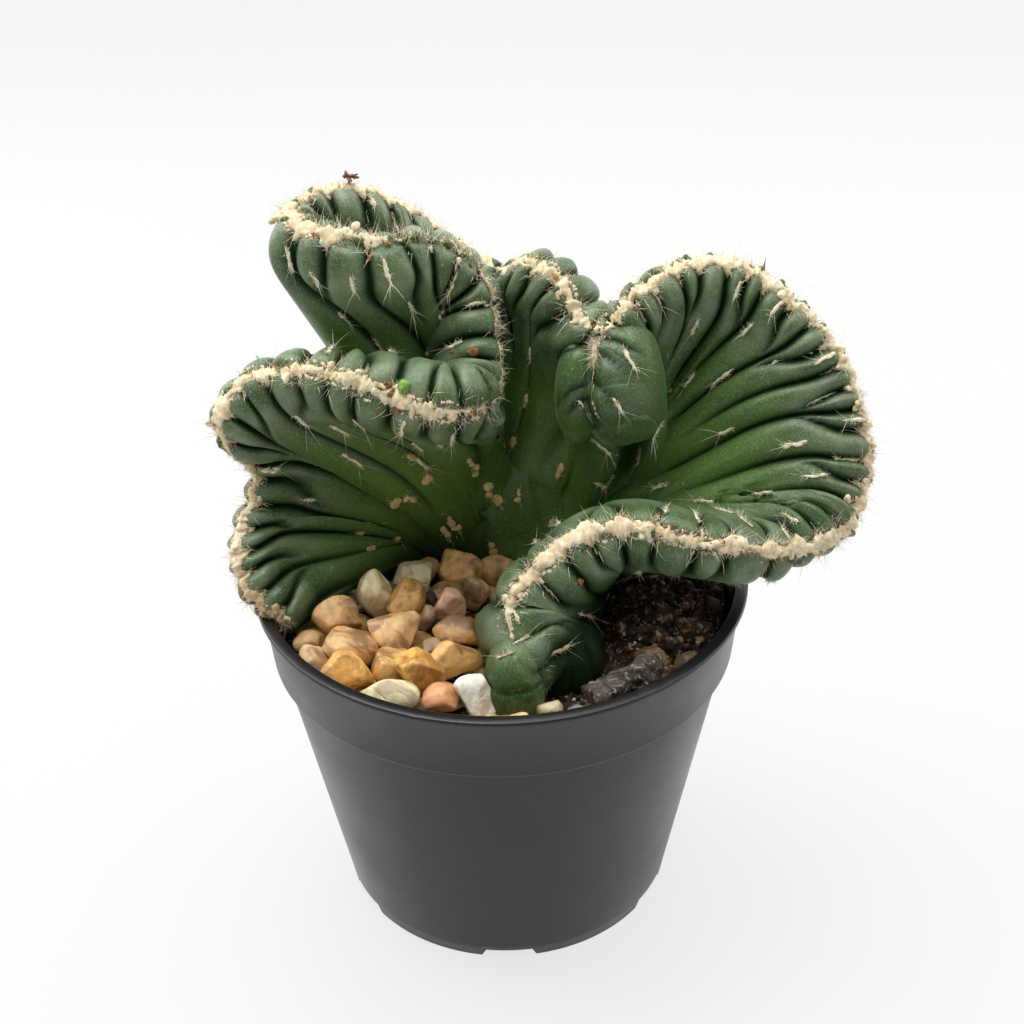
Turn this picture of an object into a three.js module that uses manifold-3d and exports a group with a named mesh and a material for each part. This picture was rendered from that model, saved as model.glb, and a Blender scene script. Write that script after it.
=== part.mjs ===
// Potted crested cactus: a nursery pot, soil, gravel and one fan-crested plant.
// Millimetres, +Z up, base of the pot on z = 0, front of the plant toward -Y.
import * as THREE from "three";
import Module from "manifold-3d";
import { mergeVertices } from "three/addons/utils/BufferGeometryUtils.js";

// Driving dimensions
const CLEARANCE = 0.3;
const POT = {
  height: 89,
  rimRadius: 60,
  rimWidth: 3,
  lipDrop: 1.2,
  collarRadius: 58.6,
  collarFoot: 71.5,
  wallTopRadius: 55.4,
  footRadius: 42.5,
  wall: 1.8,
  floor: 4,
  notches: 6,
  notchDepth: 5,
  notchHeight: 2.7,
  notchTop: 11.5,
  notchBottom: 15,
};
const SOIL_TOP = 80;
const SOIL_HOLE_FLOOR = 66;
const STEM = { x: 4, y: 21, a: 23, b: 13, top: 108 };
const NECK = { x: -6, y: 23, a: 9, b: 8, top: 147 };
const FOOT = { x: 15, y: -28, a: 15.5, b: 16, top: 98 };
const PLUG_SHARE = 0.72;
const BODY_FLOOR = SOIL_TOP + 1;
const RIB_PITCH = 8.3;
const FURROW = 2.3;
const ROOT_SHARE = 0.06;
const WOOL = { width: 0.6, lift: 0.45, thin: 0.8, thick: 2 };
const SPINE_WIDTH = 0.75;
const WELD = 1e-3;
const SNAP = 0.01;

const COLOUR = {
  pot: 0x1b1c1e,
  soil: 0x3a2a20,
  cactus: 0x2d5a2c,
  wool: 0xd9c79c,
  twig: 0x6f655b,
};

// Each station of a crest: the point on the crest, the way the sheet leans there,
// how far it runs straight before bending, its neck, its root and its half thickness.
// The list follows the growing edge from the low left tip round to the front arm.
const MAIN_CREST = [
  // low left lobe
  [[-49, -22, 86], [-0.35, -0.8, -0.3], 10, [-24, 9, 89], [-12, 22, 76], 5.5],
  [[-57, -18, 90], [-0.8, -0.55, 0.05], 16, [-26, 11, 92], [-12, 22, 76], 6.5],
  [[-64, -11, 96], [-0.95, -0.3, 0.05], 20, [-27, 12, 96], [-12, 22, 76], 7],
  [[-65, -4, 104], [-0.95, -0.2, 0.2], 20, [-26, 12, 99], [-11, 22, 76], 7],
  [[-60, 3, 111], [-0.9, -0.1, 0.4], 20, [-25, 14, 103], [-11, 22, 76], 6.8],
  // notch, then the middle left lobe
  [[-59, 5, 116], [-0.97, -0.05, 0.1], 20, [-24, 14, 106], [-10, 22, 76], 6.8],
  [[-65, 2, 125], [-0.97, -0.15, 0.1], 22, [-22, 14, 108], [-9, 22, 76], 7.4],
  [[-66, -1, 135], [-0.92, -0.25, 0.35], 24, [-20, 14, 110], [-8, 22, 76], 7.8],
  [[-58, -2, 143], [-0.6, -0.35, 0.7], 26, [-18, 14, 112], [-7, 22, 76], 8],
  [[-45, -5, 148], [-0.35, -0.45, 0.75], 26, [-15, 15, 115], [-6, 22, 76], 8.4],
  [[-35, -9, 147], [-0.2, -0.7, 0.6], 24, [-12, 16, 119], [-5, 23, 76], 8.8],
  [[-24, -13, 143], [-0.1, -0.95, 0.25], 20, [-10, 18, 122], [-4, 24, 76], 9.2],
  [[-14, -16, 141], [0.1, -0.98, 0.15], 16, [-9, 19, 124], [-4, 25, 76], 9.4],
  [[-6, -13, 140], [0.45, -0.85, 0.15], 14, [-8, 19, 125], [-4, 25, 76], 9.2],
  // turn back and up
  [[0, -6, 138], [0.85, -0.45, 0], 14, [-8, 19, 126], [-4, 25, 76], 8.8],
  [[2, 3, 140], [0.95, -0.25, -0.05], 15, [-8, 19, 127], [-4, 26, 76], 8.2],
  [[1, 11, 149], [0.95, -0.2, 0.15], 18, [-8, 19, 128], [-4, 26, 76], 8],
  [[-1, 15, 158], [0.7, -0.3, 0.62], 22, [-8, 19, 128], [-4, 27, 76], 8],
  // upper left lobe, front ridge then back ridge
  [[-9, 15, 167], [0.2, -0.45, 0.85], 27, [-8, 18, 128], [-4, 28, 76], 8.2],
  [[-18, 12, 171], [-0.05, -0.5, 0.85], 30, [-8, 18, 128], [-4, 28, 76], 8.4],
  [[-27, 8, 171], [-0.1, -0.52, 0.84], 32, [-9, 18, 128], [-4, 29, 76], 8.8],
  [[-36, 10, 174], [-0.2, -0.42, 0.88], 32, [-10, 18, 128], [-4, 29, 76], 9],
  [[-42, 14, 176], [-0.2, -0.15, 0.96], 30, [-10, 19, 128], [-4, 30, 76], 9],
  [[-44, 19, 177], [-0.18, 0.05, 0.97], 28, [-9, 20, 128], [-4, 31, 76], 8.8],
  [[-40, 24, 178], [-0.12, 0.15, 0.97], 28, [-7, 23, 127], [-3, 32, 76], 8.4],
  [[-31, 28, 178], [-0.05, 0.15, 0.97], 30, [-5, 26, 125], [-2, 32, 76], 8],
  [[-19, 31, 171], [0, 0.1, 1], 28, [-3, 29, 122], [0, 33, 76], 7.8],
  [[-7, 34, 160], [0.1, 0.1, 1], 22, [-1, 31, 118], [2, 34, 76], 7.6],
  // middle lobe
  [[1, 32, 155], [-0.2, -0.15, 0.97], 22, [4, 28, 116], [3, 33, 76], 7.6],
  [[7, 24, 161], [-0.15, -0.45, 0.88], 26, [6, 24, 114], [4, 32, 76], 8.4],
  [[15, 16, 158], [-0.05, -0.7, 0.72], 24, [9, 22, 113], [5, 30, 76], 9],
  [[20, 11, 152], [-0.05, -0.85, 0.5], 22, [12, 20, 112], [6, 28, 76], 8.8],
  // big right lobe
  [[26, 9, 152], [-0.15, -0.7, 0.7], 22, [15, 20, 110], [8, 26, 76], 8],
  [[33, 13, 158], [-0.3, -0.4, 0.85], 26, [18, 20, 108], [9, 25, 76], 7.6],
  [[45, 18, 162], [0, -0.2, 1], 30, [21, 20, 106], [10, 24, 76], 7.6],
  [[58, 18, 161], [0.25, -0.15, 0.95], 32, [24, 20, 104], [11, 24, 76], 7.6],
  [[70, 14, 154], [0.55, -0.15, 0.8], 32, [26, 20, 102], [12, 23, 76], 7.6],
  [[80, 8, 143], [0.85, -0.15, 0.5], 32, [28, 18, 100], [12, 23, 76], 7.6],
  [[86, 1, 130], [0.97, -0.2, 0.15], 32, [29, 16, 98], [12, 22, 76], 7.6],
  [[87, -7, 119], [0.93, -0.35, 0.05], 32, [29, 13, 97], [12, 21, 76], 7.8],
  [[80, -18, 110], [0.65, -0.75, 0.1], 30, [28, 10, 96], [12, 20, 76], 8],
  [[64, -26, 108], [0.25, -0.9, 0.25], 26, [26, 6, 96], [12, 18, 76], 8.6],
  [[47, -28, 113], [0, -0.9, 0.4], 24, [23, 3, 96], [12, 15, 76], 9],
  [[32, -27, 117], [-0.05, -0.85, 0.5], 22, [20, 0, 95], [12, 11, 76], 9.4],
  [[20, -26, 115], [-0.2, -0.75, 0.62], 20, [18, -5, 94], [13, 5, 76], 9.8],
  // front arm, down to the soil
  [[8, -29, 109], [-0.3, -0.65, 0.7], 18, [17, -10, 91], [13, -2, 76], 10.4],
  [[1, -34, 102], [-0.45, -0.85, 0.3], 16, [15, -16, 88], [13, -8, 74], 11],
  [[3, -40, 95], [-0.1, -0.98, 0.2], 14, [13, -22, 84], [12, -14, 74], 11],
  [[8, -44, 89], [0.1, -0.99, -0.05], 12, [12, -28, 80], [11, -20, 74], 10],
  [[9, -44, 84], [0.05, -0.93, -0.3], 10, [11, -32, 76], [11, -24, 72], 8],
];
// Where the sheet is parted into lobes that each close on themselves.
const LOBE_ENDS = [0, 5, 10, 14, 17, 23, 27, 31, 36, 41, 45, 49];

// A short fold branches off beside the notch between the middle and right lobes.
const SPUR_CREST = [
  [[25, 3, 147.5], [-0.45, -0.8, 0.4], 18, [30, 20, 116], [14, 24, 76], 5],
  [[23.5, 1, 146], [-0.65, -0.75, 0.2], 18, [31, 19, 115], [14, 23, 76], 7.5],
  [[22, -1, 143], [-0.8, -0.62, 0.1], 18, [32, 18, 114], [14, 22, 76], 9.4],
  [[21, -2, 140], [-0.85, -0.55, -0.05], 18, [32, 16, 112], [14, 21, 76], 10.2],
  [[21, -4, 134], [-0.8, -0.58, -0.2], 17, [32, 14, 109], [14, 20, 76], 10.5],
  [[23, -4, 128], [-0.6, -0.65, -0.5], 15, [31, 13, 105], [14, 19, 76], 9.5],
];
const SPUR_ENDS = [0, 5];

// Gravel, one row each: centre, size along x, y and z, turn in degrees, colour.
const PEBBLES = [
  [-30.6, -8, 86.6, 9.2, 8, 12, 10, 0xd8cbb2],
  [-21, 0, 87, 11.8, 9, 8, -8, 0xb9ab93],
  [-19, 5.6, 85, 8, 6, 6.5, 20, 0xb98a55],
  [-10.5, 4, 86.5, 11.5, 9, 8, -15, 0xa77243],
  [-14.5, -3, 84.5, 7, 8, 7, 30, 0xb88d5d],
  [-6.5, -4, 85.5, 6.5, 8, 8.5, 12, 0x9c6f47],
  [-23.5, -11, 87, 9.8, 9, 8.5, 40, 0x9a6a3f],
  [-18.5, -5.5, 84, 5.5, 6, 6, 0, 0x3b322c],
  [-12.9, -12, 86.5, 7, 8, 9, 0, 0xc99a7b],
  [-18.3, -13.5, 84, 6, 6, 6.5, 15, 0x8b6b4f],
  [-10.1, -22, 86, 11, 8.5, 7, -10, 0xa9763f],
  [-24.7, -23, 86.5, 14, 11, 10, 25, 0xc08f62],
  [-39.4, -17, 86.5, 11, 10, 10.5, -30, 0xa26f44],
  [-35, -27, 85.5, 14, 9, 7.5, -8, 0x9d6b3e],
  [-45.6, -22.5, 84, 6.5, 7, 6, 0, 0x80593a],
  [-43.6, -30, 84, 8, 8, 7, 20, 0xc9a78f],
  [-34.6, -35.5, 84.8, 12, 9, 8.5, 5, 0xc08238],
  [-26, -32.5, 83.8, 8, 8, 7, -20, 0xbc8a55],
  [-18.2, -36.5, 86, 10.4, 10, 9.5, 35, 0xb8762f],
  [-10.6, -31.5, 85.6, 11.2, 10, 9.5, 8, 0xb77f45],
  [-27, -43.5, 84, 16.5, 8, 7.5, -6, 0xc2b8a2],
  [-14, -45, 84, 8.4, 8, 8, 50, 0x9a5b35],
  [-6.6, -44.5, 85, 8.2, 8, 9.5, -15, 0xd9d2c6],
  [-16.5, -26, 83.6, 6, 6, 6, 10, 0x7b5537],
  [-1, 5, 84.8, 9, 8, 7, 12, 0xbf935f],
  [3.5, -51.5, 82.5, 6, 4.5, 4.5, 0, 0xcdbfa2],
  [15.8, -50, 82.6, 6, 5, 4.5, 30, 0x6c7480],
  [35, -29.5, 83, 7, 6, 5, 25, 0xb08a5c],
  [42.5, -31, 83, 6, 6, 5, -20, 0x86603f],
  [-3, -52, 82.4, 4.8, 4, 4.4, 15, 0x8a6744],
];
const TWIG = { from: [19.5, -49.5, 83.1], to: [36.5, -38.5, 84.2], radius: 2.1, ends: 1.3 };

const wasm = await Module();
wasm.setup();

// Seeded draw, the same on every run.
function randomFrom(seed) {
  let state = seed >>> 0;
  return () => {
    state = (state + 0x6d2b79f5) >>> 0;
    let t = state;
    t = Math.imul(t ^ (t >>> 15), t | 1);
    t ^= t + Math.imul(t ^ (t >>> 7), t | 61);
    return ((t ^ (t >>> 14)) >>> 0) / 4294967296;
  };
}

function vec(triple) {
  return new THREE.Vector3(...triple);
}

// Solids are joined and cut as manifolds and go back to plain geometry at the end.
function solidFrom(geometry, weld = WELD / 10) {
  const bare = new THREE.BufferGeometry();
  bare.setAttribute("position", geometry.getAttribute("position"));
  bare.setIndex(geometry.getIndex());
  const merged = mergeVertices(bare, weld);
  return new wasm.Manifold(new wasm.Mesh({
    numProp: 3,
    vertProperties: new Float32Array(merged.getAttribute("position").array),
    triVerts: new Uint32Array(merged.getIndex().array),
  }));
}

function solidFromMesh(points, triangles) {
  const flat = new Float32Array(points.length * 3);
  points.forEach((p, i) => flat.set([p.x, p.y, p.z], 3 * i));
  return new wasm.Manifold(new wasm.Mesh({
    numProp: 3,
    vertProperties: flat,
    triVerts: new Uint32Array(triangles.flat()),
  }));
}

function geometryFrom(solid) {
  const mesh = solid.getMesh();
  const geometry = new THREE.BufferGeometry();
  geometry.setAttribute("position", new THREE.BufferAttribute(mesh.vertProperties, 3));
  geometry.setIndex(new THREE.BufferAttribute(mesh.triVerts, 1));
  geometry.computeVertexNormals();
  return geometry;
}

// The largest connected skin of a solid: sealed hollows fill up and loose scraps go.
function largestSkin(solid) {
  const { triVerts, vertProperties } = solid.getMesh();
  const owner = Array.from({ length: vertProperties.length / 3 }, (_, i) => i);
  const find = (start) => {
    let i = start;
    while (owner[i] !== i) {
      owner[i] = owner[owner[i]];
      i = owner[i];
    }
    return i;
  };
  for (let t = 0; t < triVerts.length; t += 3) {
    owner[find(triVerts[t])] = find(triVerts[t + 1]);
    owner[find(triVerts[t + 1])] = find(triVerts[t + 2]);
  }
  const size = new Map();
  for (let t = 0; t < triVerts.length; t += 3) {
    const key = find(triVerts[t]);
    size.set(key, (size.get(key) ?? 0) + 1);
  }
  const largest = [...size].reduce((a, b) => (b[1] > a[1] ? b : a))[0];
  const kept = [];
  for (let t = 0; t < triVerts.length; t += 3) {
    if (find(triVerts[t]) === largest) {
      kept.push(triVerts[t], triVerts[t + 1], triVerts[t + 2]);
    }
  }
  const geometry = new THREE.BufferGeometry();
  geometry.setAttribute("position", new THREE.BufferAttribute(vertProperties, 3));
  geometry.setIndex(kept);
  return geometry;
}

// Corners go to a fine grid, so that near ones meet. Welding them can pinch off a
// pocket, so the skin is taken again after it.
function outerSkin(solid) {
  let welded = solid;
  for (let pass = 0; pass < 3; pass += 1) {
    const skin = largestSkin(welded);
    const corners = skin.getAttribute("position").array;
    corners.forEach((value, i) => {
      corners[i] = Math.round(value / SNAP) * SNAP;
    });
    welded = solidFrom(skin, WELD);
  }
  return welded;
}

function joined(solids) {
  return solids.reduce((all, next) => all.add(next));
}

function box(sx, sy, sz, x, y, z) {
  const geometry = new THREE.BoxGeometry(sx, sy, sz);
  geometry.translate(x, y, z);
  return solidFrom(geometry);
}

// A round solid about Z whose profile starts and ends on the axis.
function turned(profile, segments) {
  const points = profile.map(([r, z]) => new THREE.Vector2(r, z));
  const geometry = new THREE.LatheGeometry(points, segments);
  geometry.rotateX(Math.PI / 2);
  return geometry;
}

const part = new THREE.Group();
part.name = "potted_crested_cactus";

function addPiece(name, solid, colour, roughness) {
  const material = new THREE.MeshStandardMaterial({ color: colour, roughness, metalness: 0 });
  const mesh = new THREE.Mesh(geometryFrom(solid), material);
  mesh.name = name;
  part.add(mesh);
}

// Pot: thin moulded wall with a collar and rolled rim, drain notches round the foot.
function innerRadiusAt(z) {
  const low = POT.footRadius - POT.wall;
  const high = POT.wallTopRadius - POT.wall;
  return low + (high - low) * Math.min(1, z / POT.collarFoot);
}

function makePot() {
  const rimInner = POT.rimRadius - POT.rimWidth;
  const lathe = turned([
    [0, 0],
    [POT.footRadius, 0],
    [POT.footRadius + 0.6, POT.floor],
    [POT.wallTopRadius, POT.collarFoot - 0.5],
    [POT.collarRadius - 1.6, POT.collarFoot],
    [POT.collarRadius, POT.height - POT.lipDrop],
    [POT.rimRadius, POT.height - POT.lipDrop],
    [POT.rimRadius, POT.height - 0.3],
    [POT.rimRadius - 0.4, POT.height],
    [rimInner, POT.height],
    [rimInner - 2, POT.collarFoot + 0.5],
    [innerRadiusAt(POT.floor), POT.floor],
    [0, POT.floor],
  ], 56);
  let pot = solidFrom(lathe);
  for (let i = 0; i < POT.notches; i += 1) {
    const outline = new THREE.Shape([
      new THREE.Vector2(-POT.notchBottom / 2, -1),
      new THREE.Vector2(POT.notchBottom / 2, -1),
      new THREE.Vector2(POT.notchTop / 2, POT.notchHeight),
      new THREE.Vector2(-POT.notchTop / 2, POT.notchHeight),
    ]);
    const notch = new THREE.ExtrudeGeometry(outline, { depth: 20, bevelEnabled: false });
    notch.rotateX(Math.PI / 2);
    notch.translate(0, -POT.footRadius + POT.notchDepth, 0);
    notch.rotateZ((i * 2 * Math.PI) / POT.notches);
    pot = pot.subtract(solidFrom(notch));
  }
  return pot;
}

// Plugs by which the plant stands in the soil, and the holes they stand in.
function plug(seat, grow) {
  const geometry = turned([
    [0, SOIL_HOLE_FLOOR + CLEARANCE - grow],
    [1, SOIL_HOLE_FLOOR + CLEARANCE - grow],
    [1, BODY_FLOOR + 4],
    [0, BODY_FLOOR + 4],
  ], 20);
  geometry.scale(seat.a * PLUG_SHARE + grow, seat.b * PLUG_SHARE + grow, 1);
  geometry.translate(seat.x, seat.y, 0);
  return solidFrom(geometry);
}

// Soil: level under the gravel, cloddy and heaped on the open right side.
function soilHeight(x, y) {
  const open = THREE.MathUtils.smoothstep(x, 31, 46) * THREE.MathUtils.smoothstep(y, -32, -14);
  const clods = Math.sin(x * 0.9 + y * 0.5) * Math.cos(y * 0.8 - x * 0.35);
  return SOIL_TOP + 0.12 * clods + open * (3 + 1.3 * clods);
}

function makeSoil() {
  const rings = [8, 16, 24, 32, 39, 45, 50];
  const segments = 36;
  const floor = POT.floor + CLEARANCE;
  const edgeTop = innerRadiusAt(POT.collarFoot) - CLEARANCE - 0.4;
  const points = [new THREE.Vector3(0, 0, soilHeight(0, 0))];
  const loops = [...rings, edgeTop].map((radius) => [radius, null]);
  loops.push([edgeTop, POT.collarFoot]);
  loops.push([innerRadiusAt(floor) - CLEARANCE - 0.4, floor]);
  for (const [radius, level] of loops) {
    for (let k = 0; k < segments; k += 1) {
      const angle = (k * 2 * Math.PI) / segments;
      const x = radius * Math.cos(angle);
      const y = radius * Math.sin(angle);
      points.push(new THREE.Vector3(x, y, level === null ? soilHeight(x, y) : level));
    }
  }
  points.push(new THREE.Vector3(0, 0, floor));
  const triangles = [];
  const at = (loop, k) => 1 + loop * segments + (k % segments);
  for (let k = 0; k < segments; k += 1) {
    triangles.push([0, at(0, k), at(0, k + 1)]);
    for (let loop = 0; loop < loops.length - 1; loop += 1) {
      triangles.push([at(loop, k), at(loop + 1, k), at(loop + 1, k + 1)]);
      triangles.push([at(loop, k), at(loop + 1, k + 1), at(loop, k + 1)]);
    }
    triangles.push([points.length - 1, at(loops.length - 1, k + 1), at(loops.length - 1, k)]);
  }
  const soil = solidFromMesh(points, triangles);
  return soil.subtract(plug(STEM, CLEARANCE)).subtract(plug(FOOT, CLEARANCE));
}

// Smooth values through the stations, spaced by the distance along the crest.
function crestTrack(stations) {
  const crest = stations.map((s) => vec(s[0]));
  const lean = stations.map((s) => vec(s[1]).normalize());
  const neck = stations.map((s) => vec(s[3]));
  const root = stations.map((s) => vec(s[4]));
  const knots = [0];
  for (let i = 1; i < crest.length; i += 1) {
    knots.push(knots[i - 1] + crest[i].distanceTo(crest[i - 1]));
  }
  const rows = stations.map((s, i) => [
    ...crest[i].toArray(), ...lean[i].toArray(), s[2], ...neck[i].toArray(),
    ...root[i].toArray(), s[5],
  ]);
  const slopes = rows.map((row, i) => row.map((value, j) => {
    const before = i > 0 ? (value - rows[i - 1][j]) / (knots[i] - knots[i - 1]) : null;
    const after = i < rows.length - 1
      ? (rows[i + 1][j] - value) / (knots[i + 1] - knots[i]) : null;
    if (before === null) {
      return after;
    }
    if (after === null) {
      return before;
    }
    const gapBefore = knots[i] - knots[i - 1];
    const gapAfter = knots[i + 1] - knots[i];
    return (before * gapAfter + after * gapBefore) / (gapBefore + gapAfter);
  }));
  function valuesAt(u) {
    let i = 0;
    while (i < knots.length - 2 && u > knots[i + 1]) {
      i += 1;
    }
    const gap = knots[i + 1] - knots[i];
    const x = (u - knots[i]) / gap;
    const a = 2 * x ** 3 - 3 * x ** 2 + 1;
    const b = (x ** 3 - 2 * x ** 2 + x) * gap;
    const c = -2 * x ** 3 + 3 * x ** 2;
    const d = (x ** 3 - x ** 2) * gap;
    return rows[i].map((value, j) => (
      a * value + b * slopes[i][j] + c * rows[i + 1][j] + d * slopes[i + 1][j]
    ));
  }
  return { knots, length: knots[knots.length - 1], valuesAt };
}

// A point of the sheet's middle surface: share 0 at the root, 1 on the crest.
function sheetPoint(track, u, share) {
  const w = track.valuesAt(u);
  const crest = new THREE.Vector3(w[0], w[1], w[2]);
  const lean = new THREE.Vector3(w[3], w[4], w[5]).normalize();
  const bend = crest.clone().addScaledVector(lean, -w[6]);
  const curve = new THREE.CubicBezierCurve3(
    new THREE.Vector3(w[10], w[11], w[12]),
    new THREE.Vector3(w[7], w[8], w[9]),
    bend,
    crest,
  );
  return curve.getPoint(share);
}

function sheetNormal(track, u, share) {
  const step = 0.6;
  const low = Math.max(0, u - step);
  const high = Math.min(track.length, u + step);
  const along = sheetPoint(track, high, share).sub(sheetPoint(track, low, share));
  const inner = Math.max(0, share - 0.02);
  const outer = Math.min(1, share + 0.02);
  const up = sheetPoint(track, u, inner).sub(sheetPoint(track, u, outer));
  return along.cross(up).normalize();
}

// How strongly the sheet bends along the crest, so that a hollow side isn't over-thick.
function sheetBend(track, u, share) {
  const low = Math.max(0, u - 2);
  const high = Math.min(track.length, u + 2);
  const step = sheetPoint(track, high, share).sub(sheetPoint(track, low, share));
  const turn = sheetNormal(track, high, share).sub(sheetNormal(track, low, share));
  return -turn.dot(step) / Math.max(step.lengthSq(), 1e-6);
}

// Share of the sheet's length at given distances below the crest.
function sharesAt(track, u, distances) {
  const steps = 48;
  const marks = [[0, 1]];
  let last = sheetPoint(track, u, 1);
  for (let i = 1; i <= steps; i += 1) {
    const share = 1 - ((1 - ROOT_SHARE) * i) / steps;
    const next = sheetPoint(track, u, share);
    marks.push([marks[i - 1][0] + next.distanceTo(last), share]);
    last = next;
  }
  const total = marks[steps][0];
  return distances(total).map((wanted) => {
    let i = 1;
    while (i < steps && marks[i][0] < wanted) {
      i += 1;
    }
    const part = (wanted - marks[i - 1][0]) / (marks[i][0] - marks[i - 1][0]);
    return [wanted, marks[i - 1][1] + part * (marks[i][1] - marks[i - 1][1])];
  });
}

// Rows below the crest: close together over the rounded edge, wider toward the root.
function rowDistances(total) {
  const edge = Math.min(1, total / 60);
  const fine = [0.8, 3.2, 8, 15, 25].map((d) => d * edge);
  return [...fine, fine[4] + (total - fine[4]) * 0.5, total];
}

// Furrows between the ribs: long, short, medium, short in turn, each fading downward.
const FURROW_REACH = [58, 17, 32, 17];

function crestColumns(track, seed) {
  const draw = randomFrom(seed);
  const ribs = Math.round(track.length / RIB_PITCH);
  const furrows = [];
  for (let i = 0; i <= ribs; i += 1) {
    const shift = i === 0 || i === ribs ? 0 : (draw() - 0.5) * 1.8;
    const reach = FURROW_REACH[i % 4] * (0.85 + 0.35 * draw());
    furrows.push({ u: (i * track.length) / ribs + shift, reach });
  }
  const columns = [];
  for (let i = 0; i < ribs; i += 1) {
    const width = furrows[i + 1].u - furrows[i].u;
    columns.push({ u: furrows[i].u, reach: furrows[i].reach, furrow: true });
    columns.push({ u: furrows[i].u + width * 0.3, reach: 0, furrow: false });
    columns.push({ u: furrows[i].u + width * 0.7, reach: 0, furrow: false });
  }
  columns.push({ u: furrows[ribs].u, reach: furrows[ribs].reach, furrow: true });
  return columns;
}

// One slice of the sheet: crest point, front points and back points, row by row.
function sliceAt(track, column) {
  const thick = track.valuesAt(column.u)[13];
  const fromEnd = Math.min(column.u, track.length - column.u);
  const close = THREE.MathUtils.clamp(fromEnd / thick, 0, 1);
  const edge = Math.max(0.12, Math.sqrt(1 - (1 - close) ** 2));
  const crest = sheetPoint(track, column.u, 1);
  const lean = crest.clone().sub(sheetPoint(track, column.u, 0.97)).normalize();
  const dip = column.furrow ? FURROW * 0.45 * edge : 0;
  const slice = { top: crest.clone().addScaledVector(lean, -dip), lean, front: [], back: [] };
  slice.normal = sheetNormal(track, column.u, 1);
  for (const [distance, share] of sharesAt(track, column.u, rowDistances)) {
    const normal = sheetNormal(track, column.u, share);
    const bend = sheetBend(track, column.u, share);
    const x = Math.max(0, 1 - distance / thick);
    const half = thick * edge * Math.sqrt(1 - x * x);
    const front = bend > 0 ? Math.min(half, 0.9 / bend) : half;
    const back = bend < 0 ? Math.min(half, -0.9 / bend) : half;
    const fade = column.furrow ? Math.max(0, 1 - distance / column.reach) ** 0.7 : 0;
    const cut = FURROW * fade * edge;
    const mid = sheetPoint(track, column.u, share).addScaledVector(lean, -dip * x);
    slice.front.push(mid.clone().addScaledVector(normal, Math.max(front * 0.4, front - cut)));
    slice.back.push(mid.clone().addScaledVector(normal, -Math.max(back * 0.4, back - cut)));
  }
  return slice;
}

// Closes a run of rings into a solid, with both end rings filled across.
function solidFromRings(rings) {
  const size = rings[0].length;
  const points = rings.flat();
  const triangles = [];
  const at = (ring, k) => ring * size + (k % size);
  for (let ring = 0; ring < rings.length - 1; ring += 1) {
    for (let k = 0; k < size; k += 1) {
      triangles.push([at(ring, k), at(ring + 1, k), at(ring + 1, k + 1)]);
      triangles.push([at(ring, k), at(ring + 1, k + 1), at(ring, k + 1)]);
    }
  }
  const last = rings.length - 1;
  for (let k = 0; k < size / 2 - 1; k += 1) {
    const a = k;
    const b = k + 1;
    const c = size - 2 - k;
    const d = (size - 1 - k) % size;
    for (const [p, q, r] of [[a, b, c], [a, c, d]]) {
      if (p !== q && q !== r && p !== r) {
        triangles.push([at(0, p), at(0, q), at(0, r)]);
        triangles.push([at(last, p), at(last, r), at(last, q)]);
      }
    }
  }
  let solid = solidFromMesh(points, triangles);
  if (solid.volume() < 0) {
    solid = solidFromMesh(points, triangles.map(([a, b, c]) => [a, c, b]));
  }
  return solid;
}

function ringOf(slice) {
  return [...slice.back].reverse().concat([slice.top], slice.front);
}

// The lobes of one crest, parted at the furrow nearest to each given station.
function makeLobes(track, columns, slices, ends) {
  const furrowAt = (station) => {
    const u = track.knots[station];
    let best = 0;
    columns.forEach((column, i) => {
      if (column.furrow && Math.abs(column.u - u) < Math.abs(columns[best].u - u)) {
        best = i;
      }
    });
    return best;
  };
  const cuts = ends.map(furrowAt);
  const lobes = [];
  for (let i = 0; i < cuts.length - 1; i += 1) {
    lobes.push(solidFromRings(slices.slice(cuts[i], cuts[i + 1] + 1).map(ringOf)));
  }
  return lobes;
}

// Rounded bases where the fans run together, shallowly ribbed.
function makeBase(seat, seed) {
  const draw = randomFrom(seed);
  const rise = seat.top - BODY_FLOOR;
  const segments = 24;
  const geometry = turned([
    [0, BODY_FLOOR - 3],
    [0.86, BODY_FLOOR - 3],
    [0.97, BODY_FLOOR + rise * 0.15],
    [1, BODY_FLOOR + rise * 0.38],
    [0.9, BODY_FLOOR + rise * 0.65],
    [0.62, BODY_FLOOR + rise * 0.87],
    [0.3, BODY_FLOOR + rise * 0.97],
    [0, seat.top],
  ], segments);
  const swell = Array.from({ length: segments }, (_, k) => (k % 2 ? 0.93 : 1) + 0.05 * draw());
  const position = geometry.getAttribute("position");
  for (let i = 0; i < position.count; i += 1) {
    const angle = Math.atan2(position.getY(i), position.getX(i));
    const k = Math.round((angle / (2 * Math.PI)) * segments + segments) % segments;
    position.setX(i, position.getX(i) * swell[k] * seat.a + seat.x);
    position.setY(i, position.getY(i) * swell[k] * seat.b + seat.y);
  }
  return solidFrom(geometry);
}

// A three-sided spine, thick at its root and pointed at its tip.
function spine(root, direction, length, width) {
  const geometry = new THREE.ConeGeometry(width / Math.sqrt(3), length, 3);
  geometry.translate(0, length / 2, 0);
  const up = new THREE.Vector3(0, 1, 0);
  geometry.applyQuaternion(new THREE.Quaternion().setFromUnitVectors(up, direction));
  geometry.translate(root.x, root.y, root.z);
  return solidFrom(geometry);
}

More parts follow.
